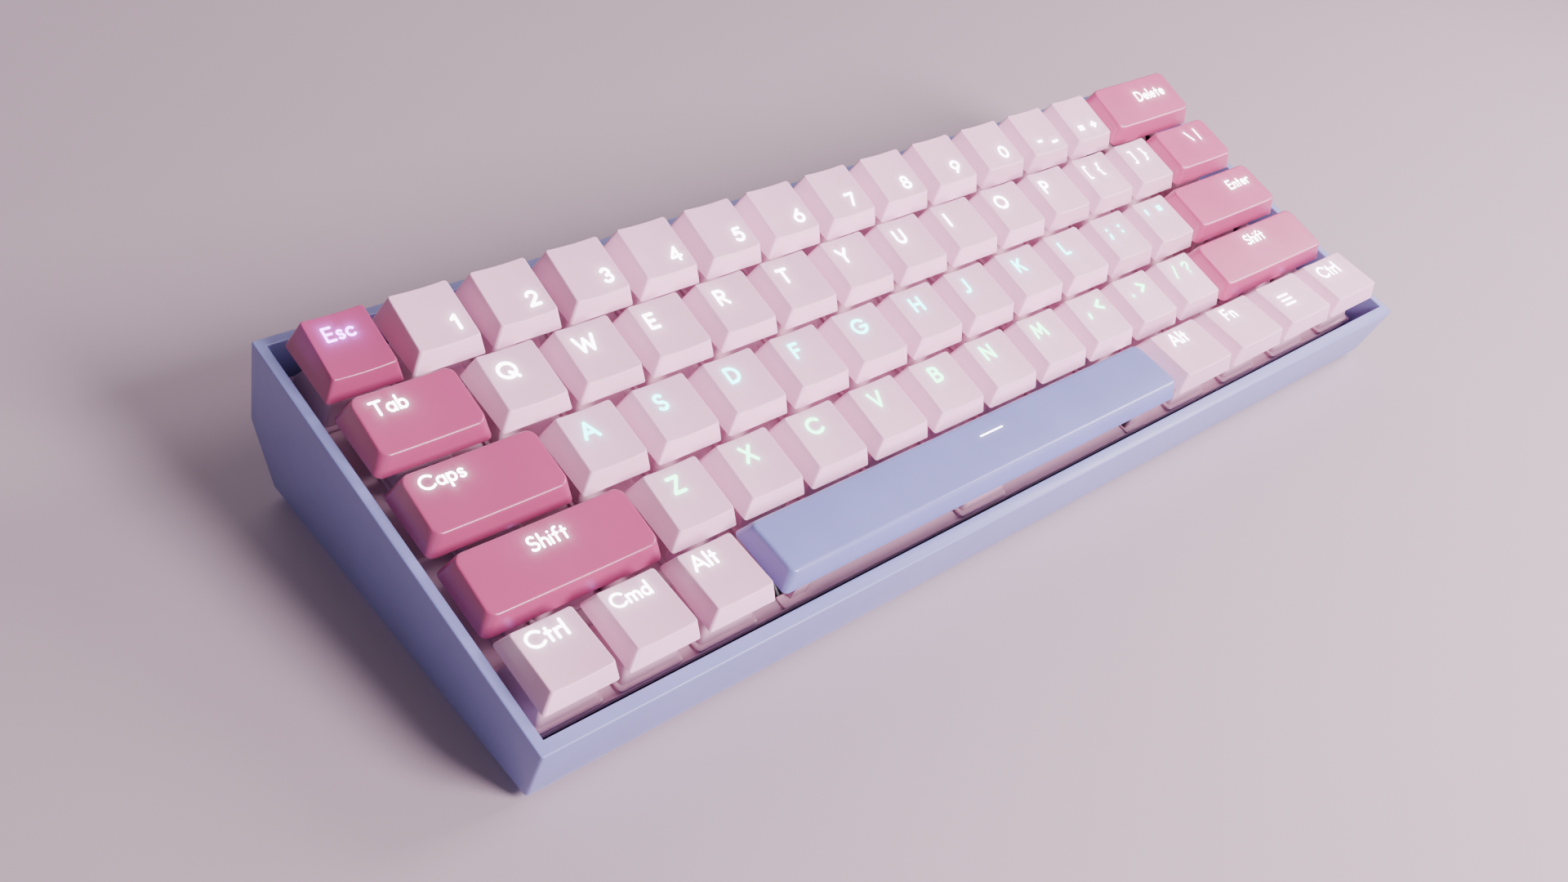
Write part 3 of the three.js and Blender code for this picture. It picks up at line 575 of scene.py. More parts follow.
# character: (width, strokes as point lists), for a cap height of 1; "~" is a menu key's three bars
GLYPHS = {
    "A": (0.84, [[(0, 0), (0.42, 1), (0.84, 0)], [(0.15, 0.32), (0.69, 0.32)]]),
    "B": (0.62, [[(0, 0), (0, 1)] + arc(0.30, 0.77, 0.25, 0.23, 90, -90) + [(0, 0.54)],
                 [(0, 0.54)] + arc(0.33, 0.27, 0.28, 0.27, 90, -90) + [(0, 0)]]),
    "C": (0.86, [arc(0.5, 0.5, 0.5, 0.5, 42, 318, 24)]),
    "D": (0.72, [[(0, 0), (0, 1)] + arc(0.24, 0.5, 0.48, 0.5, 90, -90) + [(0, 0)]]),
    "E": (0.52, [[(0.52, 1), (0, 1), (0, 0), (0.52, 0)], [(0, 0.52), (0.44, 0.52)]]),
    "F": (0.52, [[(0.52, 1), (0, 1), (0, 0)], [(0, 0.52), (0.42, 0.52)]]),
    "G": (0.98, [arc(0.5, 0.5, 0.5, 0.5, 42, 356, 26) + [(0.98, 0.46), (0.56, 0.46)]]),
    "H": (0.66, [[(0, 0), (0, 1)], [(0.66, 0), (0.66, 1)], [(0, 0.52), (0.66, 0.52)]]),
    "I": (0.0, [[(0, 0), (0, 1)]]),
    "J": (0.34, [[(0.34, 1), (0.34, 0.22)] + arc(0.10, 0.22, 0.24, 0.24, 0, -115, 8)]),
    "K": (0.60, [[(0, 0), (0, 1)], [(0.56, 1), (0.03, 0.44)], [(0.2, 0.62), (0.6, 0)]]),
    "L": (0.46, [[(0, 1), (0, 0), (0.46, 0)]]),
    "M": (0.96, [[(0, 0), (0.13, 1), (0.48, 0.24), (0.83, 1), (0.96, 0)]]),
    "N": (0.70, [[(0, 0), (0, 1), (0.70, 0), (0.70, 1)]]),
    "O": (1.0, [O_RING]),
    "P": (0.57, [P_BOWL]),
    "Q": (1.0, [O_RING, [(0.60, 0.34), (0.98, -0.06)]]),
    "R": (0.60, [P_BOWL, [(0.24, 0.48), (0.60, 0)]]),
    "S": (0.56, [arc(0.28, 0.745, 0.24, 0.255, 38, 270) + arc(0.28, 0.25, 0.27, 0.25, 88, -145)]),
    "T": (0.66, [[(0, 1), (0.66, 1)], [(0.33, 1), (0.33, 0)]]),
    "U": (0.66, [[(0, 1), (0, 0.33)] + arc(0.33, 0.33, 0.33, 0.33, 180, 360) + [(0.66, 1)]]),
    "V": (0.76, [[(0, 1), (0.38, 0), (0.76, 1)]]),
    "W": (1.20, [[(0, 1), (0.30, 0), (0.60, 0.86), (0.90, 0), (1.20, 1)]]),
    "X": (0.70, [[(0, 0), (0.66, 1)], [(0.03, 1), (0.70, 0)]]),
    "Y": (0.70, [[(0, 1), (0.35, 0.47), (0.70, 1)], [(0.35, 0.47), (0.35, 0)]]),
    "Z": (0.64, [[(0, 1), (0.62, 1), (0, 0), (0.64, 0)]]),
    "0": (0.66, [arc(0.33, 0.5, 0.33, 0.5, 0, 360, 28)]),
    "1": (0.24, [[(0, 0.78), (0.24, 1), (0.24, 0)]]),
    "2": (0.62, [arc(0.31, 0.70, 0.29, 0.30, 165, -38) + [(0, 0), (0.62, 0)]]),
    "3": (0.58, [arc(0.28, 0.75, 0.25, 0.25, 150, -90), arc(0.28, 0.27, 0.29, 0.27, 84, -150)]),
    "4": (0.68, [[(0.50, 0), (0.50, 1), (0, 0.28), (0.68, 0.28)]]),
    "5": (0.60, [[(0.56, 1), (0.14, 1), (0.08, 0.56)] + arc(0.28, 0.33, 0.32, 0.33, 128, -145)]),
    "6": (0.66, [arc(0.33, 0.33, 0.33, 0.33, 0, 360, 24), [(0.50, 1), (0.06, 0.50)]]),
    "7": (0.60, [[(0, 1), (0.60, 1), (0.20, 0)]]),
    "8": (0.62, [arc(0.31, 0.76, 0.24, 0.24, 0, 360, 24), arc(0.31, 0.27, 0.31, 0.27, 0, 360, 24)]),
    "9": (0.66, [arc(0.33, 0.67, 0.33, 0.33, 0, 360, 24), [(0.60, 0.50), (0.16, 0)]]),
    "a": (0.48, [SMALL_RING, [(0.48, 0.6), (0.48, 0)]]),
    "b": (0.48, [SMALL_RING, [(0, 1.02), (0, 0)]]),
    "c": (0.44, [arc(0.26, 0.3, 0.26, 0.3, 48, 312, 18)]),
    "d": (0.48, [SMALL_RING, [(0.48, 1.02), (0.48, 0)]]),
    "e": (0.50, [[(0.02, 0.31), (0.49, 0.31)] + arc(0.25, 0.3, 0.24, 0.3, 4, 315, 22)]),
    "f": (0.32, [arc(0.32, 0.82, 0.18, 0.2, 80, 180, 8) + [(0.14, 0)], [(0, 0.58), (0.31, 0.58)]]),
    "h": (0.42, [[(0, 1.02), (0, 0)], SMALL_ARCH]),
    "i": (0.0, [[(0, 0.6), (0, 0)], dot(0, 0.90)]),
    "l": (0.0, [[(0, 1.02), (0, 0)]]),
    "m": (0.80, [[(0, 0.6), (0, 0)], arc(0.20, 0.39, 0.20, 0.21, 180, 0) + [(0.40, 0)],
                 arc(0.60, 0.39, 0.20, 0.21, 180, 0) + [(0.80, 0)]]),
    "n": (0.42, [[(0, 0.6), (0, 0)], SMALL_ARCH]),
    "p": (0.48, [SMALL_RING, [(0, 0.6), (0, -0.38)]]),
    "r": (0.28, [[(0, 0.6), (0, 0)], arc(0.25, 0.34, 0.25, 0.26, 180, 68, 8)]),
    "s": (0.36, [arc(0.18, 0.45, 0.155, 0.15, 35, 270, 12)
                 + arc(0.18, 0.15, 0.175, 0.15, 88, -145, 12)]),
    "t": (0.30, [[(0.14, 0.88), (0.14, 0)], [(0, 0.6), (0.30, 0.6)]]),
    "[": (0.24, [[(0.24, 1.05), (0, 1.05), (0, -0.1), (0.24, -0.1)]]),
    "]": (0.24, [[(0, 1.05), (0.24, 1.05), (0.24, -0.1), (0, -0.1)]]),
    "{": (0.32, [[(0.32, 1.05), (0.16, 0.96), (0.16, 0.60), (0, 0.47), (0.16, 0.34),
                  (0.16, -0.02), (0.32, -0.1)]]),
    "}": (0.32, [[(0, 1.05), (0.16, 0.96), (0.16, 0.60), (0.32, 0.47), (0.16, 0.34),
                  (0.16, -0.02), (0, -0.1)]]),
    "\\": (0.42, [[(0, 1), (0.42, 0)]]),
    "|": (0.0, [[(0, 1.05), (0, -0.1)]]),
    "/": (0.42, [[(0, 0), (0.42, 1)]]),
    ";": (0.08, [dot(0.07, 0.62), [(0.08, 0.10), (0, -0.20)]]),
    ":": (0.0, [dot(0, 0.64), dot(0, 0.08)]),
    "'": (0.0, [[(0, 1), (0, 0.64)]]),
    '"': (0.24, [[(0, 1), (0, 0.64)], [(0.24, 1), (0.24, 0.64)]]),
    ",": (0.08, [[(0.08, 0.10), (0, -0.20)]]),
    ".": (0.0, [dot(0, 0.05)]),
    "<": (0.46, [[(0.46, 0.84), (0, 0.5), (0.46, 0.16)]]),
    ">": (0.46, [[(0, 0.84), (0.46, 0.5), (0, 0.16)]]),
    "?": (0.48, [arc(0.24, 0.76, 0.24, 0.24, 170, -62, 14) + [(0.24, 0.44), (0.24, 0.30)],
                 dot(0.24, 0.04)]),
    "-": (0.36, [[(0, 0.42), (0.36, 0.42)]]),
    "_": (0.46, [[(0, 0.0), (0.46, 0.0)]]),
    "=": (0.46, [[(0, 0.60), (0.46, 0.60)], [(0, 0.32), (0.46, 0.32)]]),
    "+": (0.46, [[(0, 0.46), (0.46, 0.46)], [(0.23, 0.69), (0.23, 0.23)]]),
    "~": (0.80, [[(0, 0.82), (0.80, 0.82)], [(0, 0.50), (0.80, 0.50)], [(0, 0.18), (0.80, 0.18)]]),
    " ": (0.10, []),
}
LEGENDS = {c: c.upper() for c in "abcdefghijklmnopqrstuvwxyz1234567890"}
LEGENDS.update(
    minus="- _", equal="= +", bracket_left="[ {", bracket_right="] }", backslash="\\ |",
    semicolon="; :", quote="' \"", comma=", <", period=". >", slash="/ ?", esc="Esc", tab="Tab",
    caps="Caps", shift_left="Shift", shift_right="Shift", enter="Enter", delete="Delete",
    ctrl_left="Ctrl", super="Cmd", alt_left="Alt", alt_right="Alt", fn="Fn", menu="~",
    ctrl_right="Ctrl")
# legends with a place of their own, in mm from the key's middle:
# (x, baseline, cap height, whether x is the legend's left end or its centre)
SPOT = dict(
    esc=(-3.6, 1.2, 2.95, "left"), tab=(-8.2, 1.6, 3.0, "left"), caps=(-12.0, 2.4, 2.85, "left"),
    shift_left=(-0.6, 1.5, 2.9, "centre"), shift_right=(0.6, 1.6, 2.9, "centre"),
    enter=(9.2, 0.7, 2.85, "centre"), delete=(5.2, -0.3, 3.0, "centre"),
    backslash=(2.7, 0.8, 3.3, "centre"), ctrl_left=(-0.85, 2.2, 3.3, "centre"),
    super=(-1.0, 2.4, 2.9, "centre"), alt_left=(-2.15, 2.3, 3.25, "centre"),
    alt_right=(-0.8, 2.1, 3.4, "centre"), fn=(-1.65, 2.3, 3.25, "centre"),
    menu=(-2.4, -2.1, 4.9, "centre"), ctrl_right=(-1.45, 1.2, 3.6, "centre"))
# the other legends: (x, baseline, cap height) by row, and how far each one moves along x
ROW_SPOT = {1: (-1.9, 0.95, 3.5), 2: (-1.9, 0.45, 3.5), 3: (-1.9, 0.3, 3.5), 4: (3.1, -4.4, 3.2)}
NUDGE = dict(
    z=0.85, x=1.05, c=0.75, v=0.9, b=1.2, n=0.25, m=0.25, comma=2.45, period=1.8, slash=2.5,
    a=0.35, s=-0.3, d=0.45, f=0.1, g=0.85, h=1.1, j=-0.7, k=0.6, l=-0.4, semicolon=1.35,
    quote=1.65, q=-0.2, w=0.25, e=-1.35, r=-0.65, t=-0.6, y=-0.5, u=-0.25, i=-1.95, o=-0.35,
    p=-1.2, bracket_left=0.65, bracket_right=2.15, minus=-2.0, equal=-2.7)
NUDGE.update({"1": 0.4, "2": 0.05, "3": 0.3, "4": 0.3, "5": 0.1, "6": 0.1, "7": -1.15, "8": -0.8,
              "9": -0.85, "0": -0.85})
# pairs of symbols: the gap in glyph units, and half the stroke over the cap height
PAIR_GAP = dict(semicolon=0.60, quote=0.62, slash=0.38, backslash=0.38)
PAIR_HALF = dict(semicolon=0.125, quote=0.115, comma=0.125, period=0.125, minus=0.12, equal=0.13,
                 backslash=0.075)
GLYPH_STRETCH = 1.12  # glyphs are drawn this much wider than their table
# the space bar's mark is one line, in mm
BAR_MARK, BAR_MARK_HALF = [[0.7, 2.35, 8.0, 2.35]], 0.17


def legend_strokes(key):
    """Segments (x0, y0, x1, y1) of a legend in cap millimetres, and half the stroke width."""
    name = key.name
    if name == "space":
        return np.array(BAR_MARK), BAR_MARK_HALF
    text = LEGENDS[name]
    if name in SPOT:
        x, y, height, align = SPOT[name]
    else:
        x, y, height = ROW_SPOT[key.row]
        x, align = x + NUDGE[name], "centre"
    gap = 0.24
    if " " in text:
        gap, half = PAIR_GAP.get(name, 0.47), PAIR_HALF.get(name, 0.086)
    elif len(text) == 1:
        half = 0.070 if text == "~" else 0.118
    else:
        half = 0.092 if name in WIDE or name == "esc" else 0.098
    scale_x = height * GLYPH_STRETCH
    widths = [GLYPHS[c][0] for c in text]
    total = (sum(widths) + gap * (len(text) - 1)) * scale_x
    left = x if align == "left" else x - total / 2
    segments = []
    for char, width in zip(text, widths):
        for line in GLYPHS[char][1]:
            for a, b in zip(line, line[1:]):
                segments.append((left + a[0] * scale_x, y + a[1] * height,
                                 left + b[0] * scale_x, y + b[1] * height))
        left += (width + gap) * scale_x
    return np.array(segments), half * height


def distance(x, y, segments):
    """Distance from points to the nearest segment."""
    nearest = np.full(x.shape, 1e9)
    for x0, y0, x1, y1 in segments:
        dx, dy = x1 - x0, y1 - y0
        square = dx * dx + dy * dy
        along = 0.0
        if square > 1e-12:
            along = np.clip(((x - x0) * dx + (y - y0) * dy) / square, 0, 1)
        nearest = np.minimum(nearest, np.hypot(x - x0 - along * dx, y - y0 - along * dy))
    return nearest


def stroke_sheet(segments, half, step=0.115):
    """The strokes as a flat sheet: points (n, 2) and polygons, by marching squares."""
    def stations(values):
        low, high = values.min() - half - 1.5 * step, values.max() + half + 1.5 * step
        return np.arange(low, high + step, step)

    xs, ys = stations(segments[:, ::2]), stations(segments[:, 1::2])
    grid_x, grid_y = np.meshgrid(xs, ys, indexing="ij")
    depth = distance(grid_x, grid_y, segments) - half
    # grid points almost on the outline count as inside, which avoids sliver polygons
    depth[np.abs(depth) < 0.04 * step] = -0.04 * step
    inside = depth < 0
    points, index_of, polygons = [], {}, []

    def corner(at):
        if at not in index_of:
            index_of[at] = len(points)
            points.append((xs[at[0]], ys[at[1]]))
        return index_of[at]

    def crossing(start, end):
        pair = (start, end) if start < end else (end, start)
        if pair not in index_of:
            (a, b), (c, d) = pair
            t = depth[a, b] / (depth[a, b] - depth[c, d])
            index_of[pair] = len(points)
            points.append((xs[a] + t * (xs[c] - xs[a]), ys[b] + t * (ys[d] - ys[b])))
        return index_of[pair]

    touched = inside[:-1, :-1] | inside[1:, :-1] | inside[1:, 1:] | inside[:-1, 1:]
    for i, j in zip(*np.nonzero(touched)):
        loop = [(i, j), (i + 1, j), (i + 1, j + 1), (i, j + 1)]
        polygon = []
        for start, end in zip(loop, loop[1:] + loop[:1]):
            if inside[start]:
                polygon.append(corner(start))
            if inside[start] != inside[end]:
                polygon.append(crossing(start, end))
        if len(polygon) >= 3:
            polygons.append(polygon)
    return np.array(points), polygons


# ------------------------------------------------------------------ keycaps
TOP_INSET_X, TOP_INSET_Y = 1.55, 1.475  # the top's outline inside the skirt's
TOP_SHIFT = -0.075  # the top's middle along y
TOP_LEAN = 0.2  # how much each flank leans in towards the rear
WALL = 1.25
LIP = 0.14  # easing of the skirt's lower edge
CEILING_DROP = 1.15  # from the lower end of the top to the flat ceiling inside

# dish is the depth of the hollow across x, bow the fall of the top towards front and rear
CapStyle = namedtuple("CapStyle", "skirt_radius top_radius edge dish bow"
                                  " edge_steps corner_steps x_steps y_steps")


def cap_style(key):
    if key.name == "space":
        return CapStyle(1.3, 1.7, 0.75, 0.0, 0.22, 5, 5, 96, 14)
    if key.name in WIDE:
        return CapStyle(1.7, 2.2, 0.46, 0.16, 0.0, 5, 5, int(26 + 12 * (key.units - 1.5)), 14)
    return CapStyle(0.75, 0.75, 0.30, 0.38, 0.0, 4, 3, 18, 18)


def rectangle_grid(half_x, half_y, radius, style):
    """x and y of a grid over a rounded rectangle, with its boundary on the outline."""
    corner = style.corner_steps

    def stations(count):
        """(zone, fraction): zone is -1 or 1 in the rounded ends and 0 between them."""
        return ([(-1, j / corner) for j in range(corner, -1, -1)]
                + [(0, i / count) for i in range(1, count)]
                + [(1, j / corner) for j in range(corner + 1)])

    def straight(zone, t, half):
        return zone * half if zone else -half + 2 * half * t

    all_x, all_y = [], []
    for zone_x, along_x in stations(style.x_steps):
        line_x, line_y = [], []
        for zone_y, along_y in stations(style.y_steps):
            out_x = along_x if zone_x else 0.0
            out_y = along_y if zone_y else 0.0
            x = straight(zone_x, along_x, half_x - radius)
            y = straight(zone_y, along_y, half_y - radius)
            if zone_x and zone_y and max(out_x, out_y) > 0:
                reach = max(out_x, out_y)
                if out_x >= out_y:
                    angle = math.pi / 4 * (out_y / out_x)
                else:
                    angle = math.pi / 2 - math.pi / 4 * (out_x / out_y)
                x += zone_x * radius * reach * math.cos(angle)
                y += zone_y * radius * reach * math.sin(angle)
            else:
                x += zone_x * radius * out_x
                y += zone_y * radius * out_y
            line_x.append(x)
            line_y.append(y)
        all_x.append(line_x)
        all_y.append(line_y)
    return np.array(all_x), np.array(all_y)


def border(grid):
    """Boundary of a grid, counter-clockwise."""
    return np.concatenate([grid[:, 0], grid[-1, 1:], grid[-2::-1, -1], grid[0, -2:0:-1]])


class CapForm:
    """The surfaces of a cap; rise is 0 on the skirt's outline and 1 on the top's."""

    def __init__(self, key):
        self.style = cap_style(key)
        self.half_x, self.half_y = (key.units * PITCH - CAP_GAP) / 2, (PITCH - CAP_GAP) / 2
        self.top_x, self.top_y = self.half_x - TOP_INSET_X, self.half_y - TOP_INSET_Y
        self.front_y, self.rear_y = TOP_SHIFT - self.top_y, TOP_SHIFT + self.top_y
        self.front_z, self.rear_z = SCULPT[key.row]
        self.low_top = min(self.front_z, self.rear_z)
        self.ceiling = self.low_top - CEILING_DROP
        self.skirt = SKIRT[key.row]

    def rearward(self, y):
        """0 at the top's front edge, 1 at its rear edge."""
        return (y - self.front_y) / (self.rear_y - self.front_y)

    def top_z(self, x, y):
        z = self.front_z + (self.rear_z - self.front_z) * (y - self.front_y) / (
            self.rear_y - self.front_y)
        z = z - self.style.dish * (1 - np.clip(np.abs(x) / self.top_x, 0, 1) ** 2)
        across = (y - TOP_SHIFT) / self.top_y
        return z - self.style.bow * across * across

    def outline_grid(self, inset, rise):
        style = self.style
        half_x = self.half_x + (self.top_x - self.half_x) * rise - inset
        half_y = self.half_y + (self.top_y - self.half_y) * rise - inset
        radius = style.skirt_radius + (style.top_radius - style.skirt_radius) * rise
        x, y = rectangle_grid(half_x, half_y, max(radius - inset, 0.12), style)
        y = y + TOP_SHIFT * rise
        x = x * (1 - TOP_LEAN / self.top_x * np.clip(self.rearward(y), 0, 1) * rise)
        return x, y

    def ring(self, inset, rise, z=None):
        """Outline points at height z, or on the top surface."""
        x, y = (border(grid) for grid in self.outline_grid(inset, rise))
        return np.stack([x, y, self.top_z(x, y) if z is None else np.full(len(x), z)], 1)


def cap_shell(form):
    """Vertices and faces of a cap's shell, and how many vertices come before its inside."""
    style, low = form.style, form.skirt
    top, bottom = form.ring(0.0, 1.0), form.ring(0.0, 0.0, low)
    edge_end = form.ring(style.edge, 1.0)
    flank = (top - bottom) / np.linalg.norm(top - bottom, axis=1)[:, None]
    edge_start = top - flank * style.edge
    # skirt edge, sides, rounded top edge
    rings = [form.ring(LIP, 0.0, low), bottom + flank * LIP]
    rings += [bottom + (edge_start - bottom) * t for t in (0.3, 0.55, 0.78)]
    for t in np.linspace(0, 1, style.edge_steps + 1)[:-1]:
        rings.append(edge_start * (1 - t) ** 2 + top * 2 * t * (1 - t) + edge_end * t * t)
    n = len(top)
    faces = bands(len(rings), n)

    # top surface
    grid_x, grid_y = form.outline_grid(style.edge, 1.0)
    surface = np.stack([grid_x.ravel(), grid_y.ravel(), form.top_z(grid_x, grid_y).ravel()], 1)
    ids = (np.arange(grid_x.size).reshape(grid_x.shape) + len(rings) * n).tolist()
    rim = border(np.array(ids)).tolist()
    last = (len(rings) - 1) * n
    for i in range(n):
        j = (i + 1) % n
        faces.append((last + i, last + j, rim[j], rim[i]))
    for here, right in zip(ids, ids[1:]):
        for j in range(len(here) - 1):
            faces.append((here[j], right[j], right[j + 1], here[j + 1]))

    # inside: wall, then a flat ceiling
    inner = [form.ring(inset, rise, z) for inset, rise, z in (
        (WALL - LIP, 0.0, low), (WALL, 0.0, low + LIP),
        (WALL + 0.15, 0.62, form.ceiling - 0.6), (WALL + 0.6, 0.7, form.ceiling))]
    start = len(rings) * n + len(surface)
    for i in range(n):
        j = (i + 1) % n
        faces.append((i, start + i, start + j, j))
        for s in range(len(inner) - 1):
            a, b = start + s * n, start + (s + 1) * n
            faces.append((a + i, b + i, b + j, a + j))
    faces.append(tuple(start + (len(inner) - 1) * n + i for i in range(n - 1, -1, -1)))
    return np.concatenate(rings + [surface] + inner), faces, start


def cap_glow(key, form, verts, inside_start):
    """Light round the legend: a tight halo and a faint wide one, on the cap's upper half."""
    segments, half = legend_strokes(key)
    away = np.maximum(distance(verts[:, 0], verts[:, 1], segments) - half, 0)
    lit = verts[:, 2] > (form.skirt + form.low_top) / 2
    lit[inside_start:] = False
    return np.where(lit, np.exp(-away / 0.55) + 0.22 * np.exp(-away / 2.2), 0.0)


def keycap(key):
    form = CapForm(key)
    verts, faces, inside_start = cap_shell(form)
    at = (key.x, key.y, 0)
    cap = Shape()
    cap.add(verts, faces, at=at, glow=cap_glow(key, form, verts, inside_start))
    # post that grips the plunger, and the stabiliser posts of a wide key
    low, high = post_bottom(key.row), form.ceiling + 0.1
    cap.add(*lathe([(0, low), (2.45, low), (2.7, low + 0.25), (2.7, form.ceiling - 0.4),
                    (3.1, high), (0, high)], sides=20), at=at)
    for side, x in stabilisers(key):
        cap.add(*block(1.5, 2.5, -2.9, high, x=-INSERT_SHIFT * side), at=(x, key.y, 0))
    slot = {"esc": "esc", "space": "bar"}.get(key.name, "accent" if key.name in WIDE else "alpha")
    material = MATS["alpha_" + tone_of(key) if slot == "alpha" else slot]
    obj = cap.object("cap_" + key.name, material, 32)
    attach(obj, key.node)
    return obj


def inlay(key):
    """A legend as a thin solid that follows the cap's top."""
    points, polygons = stroke_sheet(*legend_strokes(key))
    x, y = points[:, 0], points[:, 1]
    z = CapForm(key).top_z(x, y)
    n = len(points)
    # directed edges, in order; an edge without its reverse is on the outline
    edges = dict.fromkeys(e for p in polygons for e in zip(p, p[1:] + p[:1]))
    faces = [tuple(p) for p in polygons] + [tuple(i + n for i in reversed(p)) for p in polygons]
    faces += [(a, a + n, b + n, b) for a, b in edges if (b, a) not in edges]
    return np.concatenate([np.stack([x, y, z + 0.03], 1), np.stack([x, y, z - 0.12], 1)]), faces


def legends(node, keys):
    shape = Shape()
    for key in keys:
        shape.add(*inlay(key), at=(key.x, key.y, 0))
    slot = "legend_" + tone_of(keys[0])
    attach(shape.object("legend_" + node.split("_", 1)[1], MATS[slot], 40), node)


CAPS = {key.name: keycap(key) for key in KEYS}
for node, keys in KEYS_OF_NODE.items():
    legends(node, keys)

# ----------------------------------------------------------------- plungers
# The stabiliser insert has an eye for the wire: head, front and rear cheeks, sill, and a web
# on the side nearer the key's middle.
# (half x, half y, low, high, corner radius, ease, x towards the key's middle, y)
INSERT_LOW = -8.4
INSERT = [
    (1.6, 2.9, EYE_Z + 1.08, -2.6, 0.3, 0.12, 0, 0),
    (1.6, 0.25, INSERT_LOW, EYE_Z + 1.3, 0.1, 0.06, 0, -2.65),
    (1.6, 0.8, INSERT_LOW, EYE_Z + 1.3, 0.2, 0.1, 0, 2.1),
    (1.6, 2.9, INSERT_LOW, EYE_Z - 1.08, 0.3, 0.1, 0, 0),
    (0.45, 2.9, INSERT_LOW, EYE_Z + 1.2, 0.15, 0.1, 1.15, 0),
]


def plungers(node, keys):
    """Slider and cross of each key of a body, and the inserts of a stabilised one."""
    shape = Shape()
    top = HOUSING_TOP + 0.6
    for key in keys:
        at = (key.x, key.y, 0)
        shape.add(*block(2.7, 2.7, STEM_BOTTOM, top, radius=0.45, ease=0.18), at=at)
        cross_top = post_bottom(key.row) + 1.6
        for half_x, half_y in ((2.0, 0.58), (0.66, 2.0)):
            shape.add(*block(half_x, half_y, top - 0.3, cross_top, radius=0.12, ease=0.1), at=at)
        for side, x in stabilisers(key):
            for *size, inward, y in INSERT:
                shape.add(*block(*size, x=-side * inward, y=y),
                          at=(x - side * INSERT_SHIFT, key.y, 0))
    attach(shape.object("plunger_" + node, MATS["stem"], 40), node)
    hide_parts(node)


for node, keys in KEYS_OF_NODE.items():
    plungers(node, keys)

# ----------------------------------------------------------------- switches
# (half x, half y, corner radius, z)
LOWER_SHELL = [(6.5, 6.5, 0.5, BOARD_TOP + 0.05), (6.8, 6.8, 0.6, BOARD_TOP + 0.4),
               (6.8, 6.8, 0.6, FLANGE_LOW + 0.1)]
# flange, tapered upper shell with a rounded shoulder, and the well the plunger slides in
UPPER_SHELL = [
    (7.65, 7.65, 0.9, FLANGE_LOW), (7.8, 7.8, 1.0, FLANGE_LOW + 0.15),
    (7.8, 7.8, 1.0, FLANGE_LOW + 0.8), (7.55, 7.55, 0.9, FLANGE_LOW + 1.0),
    (6.95, 6.9, 0.9, FLANGE_LOW + 1.05), (6.75, 6.6, 1.0, FLANGE_LOW + 2.6),
    (5.55, 5.05, 1.1, HOUSING_TOP - 0.45), (5.3, 4.8, 1.0, HOUSING_TOP - 0.12),
    (5.0, 4.5, 0.9, HOUSING_TOP), (3.25, 3.25, 0.6, HOUSING_TOP),
    (3.1, 3.1, 0.5, HOUSING_TOP - 0.2), (3.1, 3.1, 0.5, HOUSING_TOP - WELL_DEPTH)]
# stabiliser housing, then the lips that close the plate's opening before and behind the wire's arm
# (half x, half y, low, high, corner radius, ease, x away from the key's middle, y)
STAB_HOUSING = [
    (2.4, 1.6, BOARD_TOP + 0.05, -3.4, 0.4, 0.2, -0.9, -4.9),
    (2.4, 1.6, BOARD_TOP + 0.05, -3.4, 0.4, 0.2, -0.9, 4.9),
    (0.6, 6.5, BOARD_TOP + 0.05, -3.4, 0.4, 0.2, -2.7, 0.0),
    (3.9, 1.6, FLANGE_LOW, FLANGE_LOW + 0.4, 0.4, 0.12, 0.15, -6.2),
    (1.22, 2.8, FLANGE_LOW, FLANGE_LOW + 0.4, 0.4, 0.12, 2.83, 4.3),
]
# (radius, z below the housing's top)
LED_LENS = [(0, -2.1), (1.15, -2.1), (1.15, -0.9), (0.8, -0.45), (0, -0.3)]
LED_Y = 4.55  # behind the key's middle


def switch_housings():
    bank = Shape()
    for key in KEYS:
        for shell in (LOWER_SHELL, UPPER_SHELL):
            bank.add(*loft(shell), at=(key.x, key.y, 0))
        for side, stab_x in stabilisers(key):
            for *size, outward, y in STAB_HOUSING:
                bank.add(*block(*size, x=side * outward, y=y), at=(stab_x, key.y, 0))
    attach(bank.object("switch_housing_bank", MATS["housing"], 30),
           replaces="switch_housings")


def led_lenses():
    leds = Shape()
    for key in KEYS:
        leds.add(*lathe(LED_LENS, sides=14), at=(key.x, key.y + LED_Y, HOUSING_TOP))
    attach(leds.object("switch_led_lenses", MATS["led"], 40))


def stabiliser_wires():
    """A long bar in front of the key, with arms rising rearwards and tips turned in."""
    rise = math.asin((EYE_Z - WIRE_Z) / WIRE_REACH)
    tip_y, tip_z = WIRE_REACH * math.cos(rise), WIRE_REACH * math.sin(rise)
    for key in KEYS:
        if key.name not in STAB:
            continue
        tip_x, arm_x = STAB[key.name] + 0.2, STAB[key.name] + 2.6
        wire = Shape()
        wire.add(*bent_rod([(-tip_x, tip_y, tip_z), (-arm_x, tip_y, tip_z), (-arm_x, 0, 0),
                            (arm_x, 0, 0), (arm_x, tip_y, tip_z), (tip_x, tip_y, tip_z)],
                           radius=0.8, bend=1.0),
                 at=(key.x, key.y - WIRE_REACH, WIRE_Z))
        node = "stabiliser_wire_" + key.name
        attach(wire.object("wire_" + key.name, MATS["wire"], 50), node, replaces=node)


switch_housings()
led_lenses()
stabiliser_wires()

# --------------------------------------------- tray, plate, board and feet
WIDEST_EASE = 3.0  # mm, a bevel weight of 1


